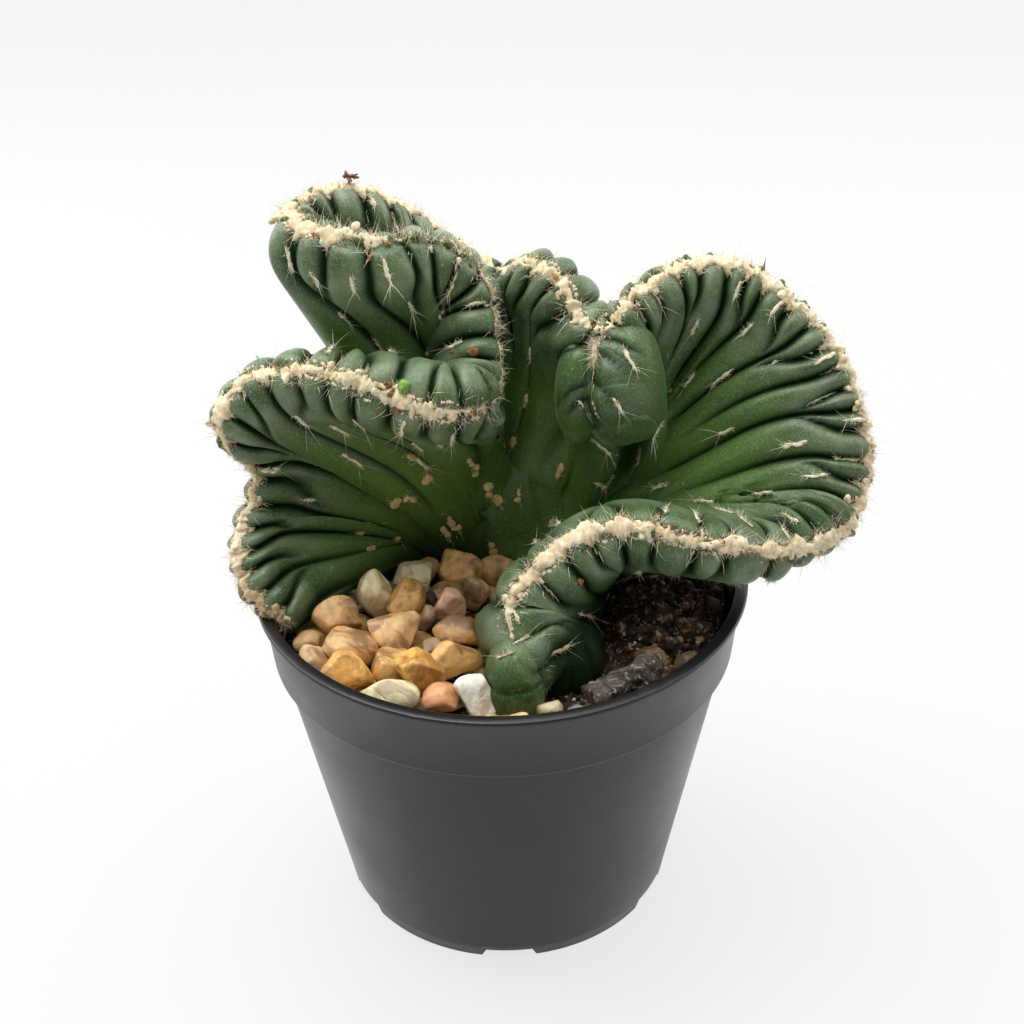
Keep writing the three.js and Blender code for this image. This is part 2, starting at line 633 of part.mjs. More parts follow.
// A woolly tuft: a low spindle that lies along its rib.
function tuft(centre, along, outward, length) {
  const geometry = new THREE.OctahedronGeometry(1);
  const across = new THREE.Vector3().crossVectors(along, outward).normalize();
  const rise = new THREE.Vector3().crossVectors(across, along).normalize();
  const frame = new THREE.Matrix4().makeBasis(
    along.clone().multiplyScalar(length / 2),
    rise.multiplyScalar(1.3),
    across.multiplyScalar(0.9),
  );
  frame.setPosition(centre);
  geometry.applyMatrix4(frame);
  return solidFrom(geometry);
}

// Tufts sit at the lower ends of the furrows, on both faces, some with a spine.
function makeTufts(columns, slices, seed) {
  const draw = randomFrom(seed);
  const solids = [];
  columns.forEach((column, i) => {
    if (!column.furrow || i < 3 || i > columns.length - 4) {
      return;
    }
    for (const face of ["front", "back"]) {
      const row = column.reach < 25 ? 3 : 4;
      const keep = draw() < (face === "front" ? 0.7 : 0.35);
      const spiny = draw() < 0.4;
      const length = 3.5 + 2.5 * draw();
      if (!keep) {
        continue;
      }
      const points = slices[i][face];
      const along = points[row].clone().sub(points[row - 1]).normalize();
      const side = slices[i + 1][face][row].clone().sub(slices[i - 1][face][row]);
      const outward = new THREE.Vector3().crossVectors(side, along).normalize();
      if (face === "front") {
        outward.negate();
      }
      const place = points[row].clone().addScaledVector(along, 1.5 * draw());
      solids.push(tuft(place.clone().addScaledVector(outward, 0.3), along, outward, length));
      if (spiny) {
        const way = outward.clone().addScaledVector(along, draw() - 0.7).normalize();
        const start = place.clone().addScaledVector(outward, -1);
        solids.push(spine(start, way, 5 + 2 * draw(), SPINE_WIDTH));
      }
    }
  });
  return solids;
}

const mainTrack = crestTrack(MAIN_CREST);
const spurTrack = crestTrack(SPUR_CREST);
const mainColumns = crestColumns(mainTrack, 11);
const spurColumns = crestColumns(spurTrack, 12);
const mainSlices = mainColumns.map((column) => sliceAt(mainTrack, column));
const spurSlices = spurColumns.map((column) => sliceAt(spurTrack, column));

// Room for the rim, so that the low lobe lies on it instead of in it.
function rimRoom() {
  const inner = POT.rimRadius - POT.rimWidth - CLEARANCE - 0.1;
  const foot = POT.collarFoot;
  const top = POT.height + CLEARANCE;
  const lathe = turned([[0, foot], [90, foot], [90, top], [0, top]], 56);
  const core = turned([
    [0, foot - 1],
    [inner - 2.1, foot - 1],
    [inner, POT.height],
    [inner, top + 1],
    [0, top + 1],
  ], 56);
  return solidFrom(lathe).subtract(solidFrom(core));
}

function makeBody() {
  const lobes = [
    ...makeLobes(mainTrack, mainColumns, mainSlices, LOBE_ENDS),
    ...makeLobes(spurTrack, spurColumns, spurSlices, SPUR_ENDS),
    makeBase(STEM, 21),
    makeBase(NECK, 23),
    makeBase(FOOT, 22),
    ...makeTufts(mainColumns, mainSlices, 31),
    ...makeTufts(spurColumns, spurSlices, 32),
  ];
  const below = box(300, 300, 60, 0, 0, BODY_FLOOR - 30);
  const grown = joined(lobes).subtract(below).subtract(rimRoom());
  return outerSkin(grown.add(plug(STEM, 0)).add(plug(FOOT, 0)));
}

// Wool: a lumpy felt band over the crest, a hair above the skin, bristling with spines.
function makeWool(columns, slices, first, last, seed) {
  const draw = randomFrom(seed);
  const rings = [];
  const spines = [];
  for (let i = first; i <= last; i += 1) {
    const slice = slices[i];
    const near = (side) => slice.top.clone().lerp(side[0], WOOL.width);
    const frontSide = slice.front[0].clone().sub(slice.top);
    const backSide = slice.back[0].clone().sub(slice.top);
    const out = slice.lean;
    const frontOut = out.clone().addScaledVector(frontSide.normalize(), 0.55).normalize();
    const backOut = out.clone().addScaledVector(backSide.normalize(), 0.55).normalize();
    const lump = WOOL.thin + (WOOL.thick - WOOL.thin) * draw();
    const skin = WOOL.lift;
    const lift = (point, way, by) => point.clone().addScaledVector(way, by);
    rings.push([
      lift(near(slice.back), backOut, skin),
      lift(slice.top, out, skin),
      lift(near(slice.front), frontOut, skin),
      lift(near(slice.front), frontOut, skin + lump * 0.7),
      lift(slice.top, out, skin + lump),
      lift(near(slice.back), backOut, skin + lump * 0.7),
    ]);
    if (draw() < 0.3) {
      const side = (draw() - 0.5) * 2;
      const way = out.clone().addScaledVector(slice.normal, side);
      way.addScaledVector(new THREE.Vector3(draw() - 0.5, draw() - 0.5, draw() - 0.5), 0.6);
      const start = lift(slice.top, out, skin + lump * 0.4);
      spines.push(spine(start, way.normalize(), 4.5 + 3.5 * draw(), SPINE_WIDTH));
    }
  }
  return outerSkin(joined([solidFromRings(rings), ...spines]).subtract(rimRoom()));
}

// Gravel: angular stones, trimmed where two would meet so that they lie side by side.
function halfSpace(point, outward) {
  const geometry = new THREE.BoxGeometry(80, 80, 80);
  geometry.translate(0, 0, -40);
  const up = new THREE.Vector3(0, 0, 1);
  geometry.applyQuaternion(new THREE.Quaternion().setFromUnitVectors(up, outward));
  geometry.translate(point.x, point.y, point.z);
  return solidFrom(geometry);
}

function makePebbles() {
  const draw = randomFrom(41);
  const stones = PEBBLES.map(([x, y, z, sx, sy, sz, turn, colour]) => {
    const geometry = mergeVertices(bareShape(new THREE.DodecahedronGeometry(1)), 1e-3);
    const position = geometry.getAttribute("position");
    for (let i = 0; i < position.count; i += 1) {
      const grow = 1.02 + 0.24 * (draw() - 0.5);
      position.setXYZ(i, position.getX(i) * grow, position.getY(i) * grow, position.getZ(i) * grow);
    }
    geometry.rotateX(draw() * 3);
    geometry.rotateZ(draw() * 3);
    geometry.scale(sx / 2, sy / 2, sz / 2);
    geometry.rotateZ(THREE.MathUtils.degToRad(turn));
    geometry.translate(x, y, z);
    return { centre: new THREE.Vector3(x, y, z), reach: [sx, sy, sz], colour, geometry };
  });
  const down = new THREE.Vector3(0, 0, -1);
  const room = rimRoom();
  return stones.map((stone, i) => {
    const bed = stone.centre.clone().setZ(SOIL_TOP + 0.45);
    let solid = solidFrom(stone.geometry).intersect(halfSpace(bed, down));
    stones.forEach((other, j) => {
      const apart = other.centre.clone().sub(stone.centre);
      const distance = apart.length();
      const way = apart.clone().divideScalar(distance);
      const mine = reachAlong(stone, way);
      const theirs = reachAlong(other, way);
      if (i !== j && distance < (mine + theirs) * 1.25) {
        const share = (distance * mine) / (mine + theirs) - CLEARANCE / 2;
        const wall = stone.centre.clone().addScaledVector(way, share);
        solid = solid.intersect(halfSpace(wall, way));
      }
    });
    return { solid: solid.subtract(room), colour: stone.colour };
  });
}

function bareShape(geometry) {
  const bare = new THREE.BufferGeometry();
  bare.setAttribute("position", geometry.getAttribute("position"));
  return bare;
}

function reachAlong(stone, way) {
  const [sx, sy, sz] = stone.reach;
  return 0.5 / Math.hypot(way.x / sx, way.y / sy, way.z / sz);
}

// A weathered stub of twig lying on the soil.
function makeTwig() {
  const start = vec(TWIG.from);
  const end = vec(TWIG.to);
  const axis = end.clone().sub(start);
  const length = axis.length();
  const geometry = new THREE.CylinderGeometry(TWIG.radius * 0.75, TWIG.radius, length, 7, 4);
  const position = geometry.getAttribute("position");
  for (let i = 0; i < position.count; i += 1) {
    const bow = 0.5 * Math.sin((position.getY(i) / length) * 5);
    position.setX(i, position.getX(i) + bow);
  }
  const up = new THREE.Vector3(0, 1, 0);
  geometry.applyQuaternion(new THREE.Quaternion().setFromUnitVectors(up, axis.normalize()));
  const middle = start.clone().add(end).multiplyScalar(0.5);
  geometry.translate(middle.x, middle.y, middle.z);
  return solidFrom(geometry);
}

addPiece("pot", makePot(), COLOUR.pot, 0.35);
addPiece("soil", makeSoil(), COLOUR.soil, 0.95);
addPiece("cactus_body", makeBody(), COLOUR.cactus, 0.45);
const crestWool = makeWool(mainColumns, mainSlices, 2, mainColumns.length - 3, 51);
const foldWool = makeWool(spurColumns, spurSlices, 3, spurColumns.length - 3, 52);
addPiece("crest_wool", crestWool, COLOUR.wool, 0.95);
addPiece("fold_wool", foldWool, COLOUR.wool, 0.95);
addPiece("twig", makeTwig(), COLOUR.twig, 0.85);
makePebbles().forEach(({ solid, colour }, i) => {
  addPiece(`pebble_${String(i + 1).padStart(2, "0")}`, solid, colour, 0.7);
});

export default part;
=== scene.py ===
import math

import bmesh
import bpy
import numpy as np
from mathutils import Matrix, Vector, noise
from mathutils.bvhtree import BVHTree


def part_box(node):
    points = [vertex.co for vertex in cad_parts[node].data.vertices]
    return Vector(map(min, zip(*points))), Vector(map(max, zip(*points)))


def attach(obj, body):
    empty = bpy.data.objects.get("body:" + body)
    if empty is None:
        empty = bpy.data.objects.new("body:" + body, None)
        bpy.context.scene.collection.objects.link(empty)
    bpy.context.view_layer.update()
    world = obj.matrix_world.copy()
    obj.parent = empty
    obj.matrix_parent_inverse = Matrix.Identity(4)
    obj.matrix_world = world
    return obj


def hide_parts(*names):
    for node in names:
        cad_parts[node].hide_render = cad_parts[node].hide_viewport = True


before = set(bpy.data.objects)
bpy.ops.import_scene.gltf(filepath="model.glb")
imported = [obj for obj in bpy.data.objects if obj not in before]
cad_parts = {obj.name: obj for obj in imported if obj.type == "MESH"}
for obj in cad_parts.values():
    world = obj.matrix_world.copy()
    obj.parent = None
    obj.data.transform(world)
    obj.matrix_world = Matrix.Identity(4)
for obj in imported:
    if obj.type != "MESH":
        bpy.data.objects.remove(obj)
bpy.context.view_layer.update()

# Camera. The plant is seen from the front, from about 31 degrees above and 0.38 m away.
# Its pixel rays also place the tufts, spines and scars that sit on the plant's skin.
MM = 0.001
PHOTO_SIDE = 1024
FOCAL_PIXELS = 1600.0
SENSOR_WIDTH = 36.0
CAMERA_RISE = math.radians(31.5)
CAMERA_ROLL = math.radians(-1.12)
CAMERA_DISTANCE = 384.2
CAMERA_SIDE = 2.84
CAMERA_TARGET_HEIGHT = 105.4

camera_back = Vector((0, -math.cos(CAMERA_RISE), math.sin(CAMERA_RISE)))
level_right = Vector((1, 0, 0))
level_up = Vector((0, math.sin(CAMERA_RISE), math.cos(CAMERA_RISE)))
camera_right = level_right * math.cos(CAMERA_ROLL) + level_up * math.sin(CAMERA_ROLL)
camera_up = level_up * math.cos(CAMERA_ROLL) - level_right * math.sin(CAMERA_ROLL)
camera_place = (
    camera_back * CAMERA_DISTANCE
    + Vector((0, 0, CAMERA_TARGET_HEIGHT))
    + camera_right * CAMERA_SIDE
) * MM

camera_data = bpy.data.cameras.new("camera")
camera_data.sensor_width = SENSOR_WIDTH
camera_data.lens = SENSOR_WIDTH * FOCAL_PIXELS / PHOTO_SIDE
camera_data.clip_start = 0.01
camera = bpy.data.objects.new("camera", camera_data)
bpy.context.scene.collection.objects.link(camera)
camera_turn = Matrix((camera_right, camera_up, camera_back)).transposed()
camera.matrix_world = Matrix.Translation(camera_place) @ camera_turn.to_4x4()
bpy.context.scene.camera = camera


def pixel_ray(across, down):
    """The direction in which the camera looks through a pixel of the photograph."""
    half = PHOTO_SIDE / 2
    side = camera_right * ((across - half) / FOCAL_PIXELS)
    rise = camera_up * ((half - down) / FOCAL_PIXELS)
    return (side + rise - camera_back).normalized()


# Studio. The pot stands on a seamless white sweep under broad soft light from above.
# A weaker panel on each side opens the shadows, as white walls do.
FLOOR_SIDE = 6.0
# the sweep's own glow, painted light that fills its shadows, and its share at the back, where the
# glow is painted dimmer
FLOOR_GLOW = 0.74
FAR_FLOOR = 0.90
FAR_FLOOR_RUN = (0.25, 0.9)
ROOM_STRENGTH = 0.82


def add_node(tree, kind, inputs=None, **settings):
    """Adds a shader node; an input is a value or another node's output socket."""
    made = tree.nodes.new(kind)
    for key, value in settings.items():
        setattr(made, key, value)
    for key, value in (inputs or {}).items():
        if isinstance(value, bpy.types.NodeSocket):
            tree.links.new(value, made.inputs[key])
        else:
            made.inputs[key].default_value = value
    return made


def new_material(name, roughness):
    """A node material: returns the material, its tree and its Principled shader."""
    made = bpy.data.materials.new(name)
    made.use_nodes = True
    shader = made.node_tree.nodes["Principled BSDF"]
    shader.inputs["Roughness"].default_value = roughness
    return made, made.node_tree, shader


def object_point(tree, offset=(0, 0, 0), turn=(0, 0, 0), scale=(1, 1, 1)):
    """Object coordinates, moved, turned or stretched by a Mapping node."""
    place = add_node(tree, "ShaderNodeTexCoord")
    mapping = add_node(tree, "ShaderNodeMapping", {
        "Vector": place.outputs["Object"],
        "Location": offset,
        "Rotation": turn,
        "Scale": scale,
    })
    return mapping.outputs["Vector"]


def noise_value(tree, vector, scale, detail=3.0, roughness=0.55, distortion=0.0):
    """Soft noise of 0 to 1; the scale counts its lumps in a metre."""
    made = add_node(tree, "ShaderNodeTexNoise", {
        "Vector": vector,
        "Scale": scale,
        "Detail": detail,
        "Roughness": roughness,
        "Distortion": distortion,
    })
    return made.outputs["Fac"]


def colour_ramp(tree, factor, stops):
    """A colour that runs through stops of (position, colour)."""
    ramp = add_node(tree, "ShaderNodeValToRGB", {"Fac": factor})
    marks = ramp.color_ramp.elements
    while len(marks) < len(stops):
        marks.new(0.5)
    for mark, (position, colour) in zip(marks, stops):
        mark.position = position
        mark.color = (*colour, 1)
    return ramp.outputs["Color"]


def value_ramp(tree, factor, low, high, to_low=0.0, to_high=1.0):
    """A smooth step from one value to another between two levels of the factor."""
    made = add_node(tree, "ShaderNodeMapRange", {
        "Value": factor,
        "From Min": low,
        "From Max": high,
        "To Min": to_low,
        "To Max": to_high,
    }, interpolation_type="SMOOTHSTEP")
    return made.outputs["Result"]


def mixed(tree, factor, first, second, blend="MIX"):
    """The second colour laid over the first, by a factor of 0 to 1."""
    made = add_node(tree, "ShaderNodeMix", {0: factor, 6: first, 7: second},
                    data_type="RGBA", blend_type=blend)
    return made.outputs[2]


def product(tree, first, second):
    made = add_node(tree, "ShaderNodeMath", {0: first, 1: second}, operation="MULTIPLY")
    return made.outputs[0]


def added(tree, first, second):
    made = add_node(tree, "ShaderNodeMath", {0: first, 1: second}, operation="ADD")
    return made.outputs[0]


def add_bump(tree, shader, height, distance, strength=1.0):
    """Bump from a height of 0 to 1, given its real depth in metres."""
    bump = add_node(tree, "ShaderNodeBump", {
        "Height": height,
        "Distance": distance,
        "Strength": strength,
    })
    tree.links.new(bump.outputs["Normal"], shader.inputs["Normal"])


def finish_piece(name, mesh, finish, replaced=()):
    mesh.name = name
    made = bpy.data.objects.new(name, mesh)
    bpy.context.scene.collection.objects.link(made)
    if finish is not None:
        mesh.materials.clear()
        mesh.materials.append(finish)
    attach(made, "root")
    if replaced:
        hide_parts(*replaced)
    return made


def mesh_of(shape, smooth=True):
    """Ends a bmesh: faces turned outward, smooth shading, and back to a mesh."""
    bmesh.ops.recalc_face_normals(shape, faces=shape.faces[:])
    for face in shape.faces:
        face.smooth = smooth
    mesh = bpy.data.meshes.new("piece")
    shape.to_mesh(mesh)
    shape.free()
    return mesh


floor_shape = bmesh.new()
bmesh.ops.create_grid(floor_shape, x_segments=1, y_segments=1, size=FLOOR_SIDE / 2)
floor_mesh = mesh_of(floor_shape, smooth=False)
floor_finish, floor_tree, floor_shader = new_material("white_sweep", roughness=0.85)
floor_cloud = noise_value(floor_tree, object_point(floor_tree), 1.2, detail=2)
floor_colour = colour_ramp(floor_tree, floor_cloud, [
    (0.35, (0.094, 0.096, 0.096)),
    (0.65, (0.105, 0.107, 0.107)),
])
floor_tree.links.new(floor_colour, floor_shader.inputs["Base Color"])
# Painted light: the sweep glows by itself, which fills its shadows, and glows less towards the
# back.
floor_shader.inputs["Emission Color"].default_value = (1, 1, 1, 1)
floor_axes = add_node(floor_tree, "ShaderNodeSeparateXYZ", {0: object_point(floor_tree)})
far_off = value_ramp(floor_tree, floor_axes.outputs["Y"], *FAR_FLOOR_RUN,
                     FLOOR_GLOW, FLOOR_GLOW * FAR_FLOOR)
floor_tree.links.new(far_off, floor_shader.inputs["Emission Strength"])
floor = bpy.data.objects.new("white_sweep", floor_mesh)
floor_mesh.materials.append(floor_finish)
bpy.context.scene.collection.objects.link(floor)

world = bpy.data.worlds.new("white_room")
world.use_nodes = True
world_tree = world.node_tree
sky = add_node(world_tree, "ShaderNodeTexCoord")
sky_axes = add_node(world_tree, "ShaderNodeSeparateXYZ", {0: sky.outputs["Generated"]})
front_to_back = value_ramp(world_tree, sky_axes.outputs["Y"], -0.95, 0.95)
room_light = colour_ramp(world_tree, front_to_back, [
    (0.0, (0.25, 0.25, 0.253)),
    (0.35, (0.95, 0.95, 0.95)),
    (1.0, (2.0, 2.0, 1.99)),
])
low_to_high = value_ramp(world_tree, sky_axes.outputs["Z"], 0.15, 0.95, 1.0, 1.55)
sky_colour = mixed(world_tree, 1.0, room_light, low_to_high, "MULTIPLY")
world_tree.links.new(sky_colour, world_tree.nodes["Background"].inputs["Color"])
world_tree.nodes["Background"].inputs["Strength"].default_value = ROOM_STRENGTH
bpy.context.scene.world = world
bpy.context.scene.view_settings.view_transform = "Standard"


def soft_panel(name, place, target, side, power):
    """A square area light that looks at a point of the plant."""
    lamp = bpy.data.lights.new(name, "AREA")
    lamp.shape = "SQUARE"
    lamp.size = side
    lamp.energy = power
    holder = bpy.data.objects.new(name, lamp)
    aim = (Vector(target) - Vector(place)).to_track_quat("-Z", "Y")
    holder.matrix_world = Matrix.Translation(place) @ aim.to_matrix().to_4x4()
    bpy.context.scene.collection.objects.link(holder)


soft_panel("overhead_panel", (-0.25, 0.15, 1.0), (0, 0, 0.12), 0.7, 7.5)
soft_panel("left_panel", (-0.75, 0.4, 0.5), (0, 0, 0.1), 0.45, 2.2)
soft_panel("right_panel", (0.8, 0.35, 0.45), (0, 0, 0.1), 0.4, 1.2)


# Pot. A thin black nursery pot, injection moulded, with a stepped collar, a rolled rim
# and six drain notches round the foot. Its satin skin has fine scuffs and dust.
POT_HEIGHT = 89.0
RIM_RADIUS = 60.0
RIM_INNER = 57.0
LIP_DROP = 1.2
COLLAR_RADIUS = 58.6
COLLAR_FOOT = 71.5
WALL_TOP_RADIUS = 55.4
FOOT_RADIUS = 42.5
WALL = 1.8
POT_FLOOR = 4.0
POT_SEGMENTS = 192
HALF_TURN_STEPS = 9600
NOTCHES = 6
NOTCH_DEPTH = 5.0
NOTCH_HEIGHT = 2.7
NOTCH_TOP = 11.5
NOTCH_BOTTOM = 15.0
# angle and depth of the small nicks in the rim
RIM_NICKS = ((-2.47, 0.5), (-0.93, 0.35), (-1.9, 0.25), (0.6, 0.4), (2.2, 0.45))
NICK_WIDTH = 0.02
DUST_AMOUNT = 0.12
DUST_COLOUR = (0.19, 0.185, 0.18, 1)
SCUFF_COLOUR = (0.16, 0.165, 0.17, 1)
SMUDGE_COLOUR = (0.12, 0.12, 0.12, 1)


def ring_order(place):
    """A number that sorts places on a turned shape by height, then angle, then radius."""
    height = round(place.z / MM * 1000)
    angle = round((math.atan2(place.y, place.x) / math.pi + 1) * HALF_TURN_STEPS)
    radius = round(math.hypot(place.x, place.y) / MM * 100)
    return (height * 1e5 + angle) * 1e4 + radius


def turned_mesh(outline, segments):
    """A closed shape spun about Z from an outline of (radius, height) in mm, in ring order."""
    shape = bmesh.new()
    points = [shape.verts.new((r * MM, 0, z * MM)) for r, z in outline]
    edges = [shape.edges.new(pair) for pair in zip(points, points[1:])]
    bmesh.ops.spin(shape, geom=points + edges, cent=(0, 0, 0), axis=(0, 0, 1),
                   angle=2 * math.pi, steps=segments, use_merge=True)
    bmesh.ops.remove_doubles(shape, verts=shape.verts[:], dist=1e-6)
    shape.verts.sort(key=lambda vertex: ring_order(vertex.co))
    shape.faces.sort(key=lambda face: ring_order(face.calc_center_median()))
    shape.verts.index_update()
    shape.faces.index_update()
    return shape


pot_outline = [
    (0, 0.6), (FOOT_RADIUS - 6, 0.6), (FOOT_RADIUS - 5, 0), (FOOT_RADIUS - 0.5, 0),
    (FOOT_RADIUS, 0.4), (FOOT_RADIUS + 0.6, POT_FLOOR),
    (WALL_TOP_RADIUS - 0.1, COLLAR_FOOT - 1.0), (WALL_TOP_RADIUS, COLLAR_FOOT - 0.55),
    (WALL_TOP_RADIUS + 0.5, COLLAR_FOOT - 0.25), (COLLAR_RADIUS - 1.75, COLLAR_FOOT),
    (COLLAR_RADIUS - 1.5, COLLAR_FOOT + 0.2), (COLLAR_RADIUS - 1.4, COLLAR_FOOT + 0.6),
    (COLLAR_RADIUS, POT_HEIGHT - LIP_DROP - 0.25), (COLLAR_RADIUS + 0.2, POT_HEIGHT - LIP_DROP),
    (RIM_RADIUS - 0.2, POT_HEIGHT - LIP_DROP), (RIM_RADIUS, POT_HEIGHT - LIP_DROP + 0.2),
    (RIM_RADIUS, POT_HEIGHT - 0.35), (RIM_RADIUS - 0.12, POT_HEIGHT - 0.1),
    (RIM_RADIUS - 0.4, POT_HEIGHT), (RIM_INNER + 0.35, POT_HEIGHT),
    (RIM_INNER + 0.1, POT_HEIGHT - 0.1), (RIM_INNER, POT_HEIGHT - 0.4),
    (RIM_INNER - 2, COLLAR_FOOT + 0.5), (FOOT_RADIUS - WALL + 0.7, POT_FLOOR + 0.6),
    (FOOT_RADIUS - WALL, POT_FLOOR), (0, POT_FLOOR),
]
pot_shape = turned_mesh(pot_outline, POT_SEGMENTS)
for vertex in pot_shape.verts:
    radius = math.hypot(vertex.co.x, vertex.co.y) / MM
    height = vertex.co.z / MM
    angle = math.atan2(vertex.co.y, vertex.co.x)
    sway = 0.12 * math.sin(2 * angle + 0.6) + 0.07 * math.sin(5 * angle + 1.9)
    if height > COLLAR_FOOT + 1:
        vertex.co.xy *= 1 + sway * 0.6 / radius
    if height > POT_HEIGHT - 0.6 and radius > RIM_INNER - 1:
        for nick_angle, depth in RIM_NICKS:
            near = math.exp(-((angle - nick_angle) / NICK_WIDTH) ** 2)
            vertex.co.z -= near * depth * MM * (0.6 if radius > 59 else 0.2)
pot_mesh = mesh_of(pot_shape)
pot = finish_piece("nursery_pot", pot_mesh, None, ("pot",))

notch_shape = bmesh.new()
for step in range(NOTCHES):
    cut = bmesh.ops.create_cube(notch_shape, size=1)["verts"]
    for vertex in cut:
        side = vertex.co.x * (NOTCH_TOP if vertex.co.z > 0 else NOTCH_BOTTOM)
        depth = -FOOT_RADIUS + NOTCH_DEPTH - 10 + vertex.co.y * 20
        level = NOTCH_HEIGHT if vertex.co.z > 0 else -1
        vertex.co = Vector((side, depth, level)) * MM
    turn = Matrix.Rotation(step * 2 * math.pi / NOTCHES, 3, "Z")
    bmesh.ops.rotate(notch_shape, verts=cut, cent=(0, 0, 0), matrix=turn)
notch_tool = bpy.data.objects.new("notch_tool", mesh_of(notch_shape, smooth=False))
bpy.context.scene.collection.objects.link(notch_tool)
notch_cut = pot.modifiers.new("drain_notches", "BOOLEAN")
notch_cut.operation = "DIFFERENCE"
notch_cut.object = notch_tool
whole = pot.evaluated_get(bpy.context.evaluated_depsgraph_get())
cut_mesh = bpy.data.meshes.new_from_object(whole)
pot.modifiers.clear()
pot.data = cut_mesh
bpy.data.objects.remove(notch_tool)


pot_finish, tree, shader = new_material("satin_black_plastic", roughness=0.38)
shader.inputs["Specular IOR Level"].default_value = 0.42
point = object_point(tree)
plastic = colour_ramp(tree, noise_value(tree, point, 25, 4), [
    (0.3, (0.0035, 0.0036, 0.0039)),
    (0.7, (0.007, 0.0072, 0.0077)),
])
scuff_vector = object_point(tree, scale=(60, 60, 700))
scuffs = value_ramp(tree, noise_value(tree, scuff_vector, 1.0, 3, 0.6, 0.4), 0.66, 0.78)
smudge_mask = value_ramp(tree, noise_value(tree, point, 55, 3, 0.6), 0.62, 0.74)
dust_cloud = value_ramp(tree, noise_value(tree, point, 40, 5, 0.65), 0.45, 0.75)
dust_grain = value_ramp(tree, noise_value(tree, point, 2500, 2, 0.6), 0.52, 0.72)
dust = product(tree, dust_cloud, product(tree, dust_grain, 0.7))
dust = product(tree, added(tree, dust, product(tree, dust_grain, 0.25)), DUST_AMOUNT)
colour = mixed(tree, product(tree, scuffs, 0.12), plastic, SCUFF_COLOUR)
colour = mixed(tree, product(tree, smudge_mask, 0.07), colour, SMUDGE_COLOUR)
colour = mixed(tree, dust, colour, DUST_COLOUR)
tree.links.new(colour, shader.inputs["Base Color"])
grain = noise_value(tree, point, 900, 3, 0.6)
rough = value_ramp(tree, noise_value(tree, point, 30, 4), 0.3, 0.7, 0.27, 0.38)
rough = added(tree, rough, product(tree, dust, 0.4))
tree.links.new(rough, shader.inputs["Roughness"])
add_bump(tree, shader, grain, 0.00006, 0.7)
cut_mesh.materials.clear()
cut_mesh.materials.append(pot_finish)


# Soil. Dark brown potting mix, pressed flat under the gravel and heaped in clods on the
# open right side, with loose crumbs, bark chips and white perlite lying on it.
SOIL_TOP = 80.0
SOIL_RINGS = 150
SOIL_EDGE = 54.6
SOIL_FOOT = 40.1
HEAP_ACROSS = (22, 36)
HEAP_BACK = (-36, -20)
# middle x, middle y, reach, height, in mm
SOIL_MOUNDS = ((33, -15, 7, 5.0), (46, -8, 6, 3.0), (30, -25, 5, 2.6))
FLECK_COLOUR = (0.50, 0.32, 0.19, 1)


def smooth_step(value, low, high):
    """A smooth rise from 0 below the low level to 1 above the high one."""
    x = np.clip((np.asarray(value, float) - low) / (high - low), 0, 1)
    return x * x * (3 - 2 * x)


def lumps(points, size, seed=0.0):
    """Smooth noise of about -1 to 1 at points in millimetres, with lumps of a given size."""
    shift = Vector((seed * 17.3, seed * 5.1, -seed * 9.7))
    return np.array([noise.noise(Vector(p) / size + shift) for p in points])


def soil_height(points):
    """Height of the soil at points in mm, with its heap and mounds but no crumbs."""
    x, y = points[:, 0], points[:, 1]
    heap = smooth_step(x, *HEAP_ACROSS) * smooth_step(y, *HEAP_BACK)
    clods = lumps(points, 6.5, 1)
    level = SOIL_TOP + heap * (3.6 + 3.2 * clods)
    for mound_x, mound_y, reach, rise in SOIL_MOUNDS:
        apart = np.hypot(x - mound_x, y - mound_y) / reach
        level = level + rise * np.exp(-apart ** 2) * (1 + 0.6 * clods)
    return level


def positions(mesh):
    flat = np.empty(len(mesh.vertices) * 3)
    mesh.vertices.foreach_get("co", flat)
    return flat.reshape(-1, 3)


def move_to(mesh, points):
    mesh.vertices.foreach_set("co", np.asarray(points, float).ravel())
    mesh.update()


soil_shape = bmesh.new()
bmesh.ops.create_grid(soil_shape, x_segments=SOIL_RINGS, y_segments=SOIL_RINGS, size=1)
for vertex in soil_shape.verts:
    x, y = vertex.co.x, vertex.co.y
    disc_x = x * math.sqrt(1 - y * y / 2)
    disc_y = y * math.sqrt(1 - x * x / 2)
    vertex.co = Vector((disc_x * SOIL_EDGE, disc_y * SOIL_EDGE, 0))
soil_points = np.array([v.co[:] for v in soil_shape.verts])
soil_level = soil_height(soil_points) + 0.8 * lumps(soil_points, 3.4, 4)
soil_level += 0.5 * lumps(soil_points, 1.5, 2) + 0.3 * lumps(soil_points, 0.7, 3)
for vertex, level in zip(soil_shape.verts, soil_level):
    vertex.co.z = level
for radius, level in ((SOIL_EDGE - 0.2, COLLAR_FOOT), (SOIL_FOOT, POT_FLOOR + 0.3)):
    rim = [e for e in soil_shape.edges if e.is_boundary]
    grown = bmesh.ops.extrude_edge_only(soil_shape, edges=rim)["geom"]
    for vertex in grown:
        if isinstance(vertex, bmesh.types.BMVert):
            away = vertex.co.xy.normalized() * radius
            vertex.co = Vector((away.x, away.y, level))
bmesh.ops.holes_fill(soil_shape, edges=[e for e in soil_shape.edges if e.is_boundary], sides=0)
bmesh.ops.scale(soil_shape, vec=(MM, MM, MM), verts=soil_shape.verts[:])

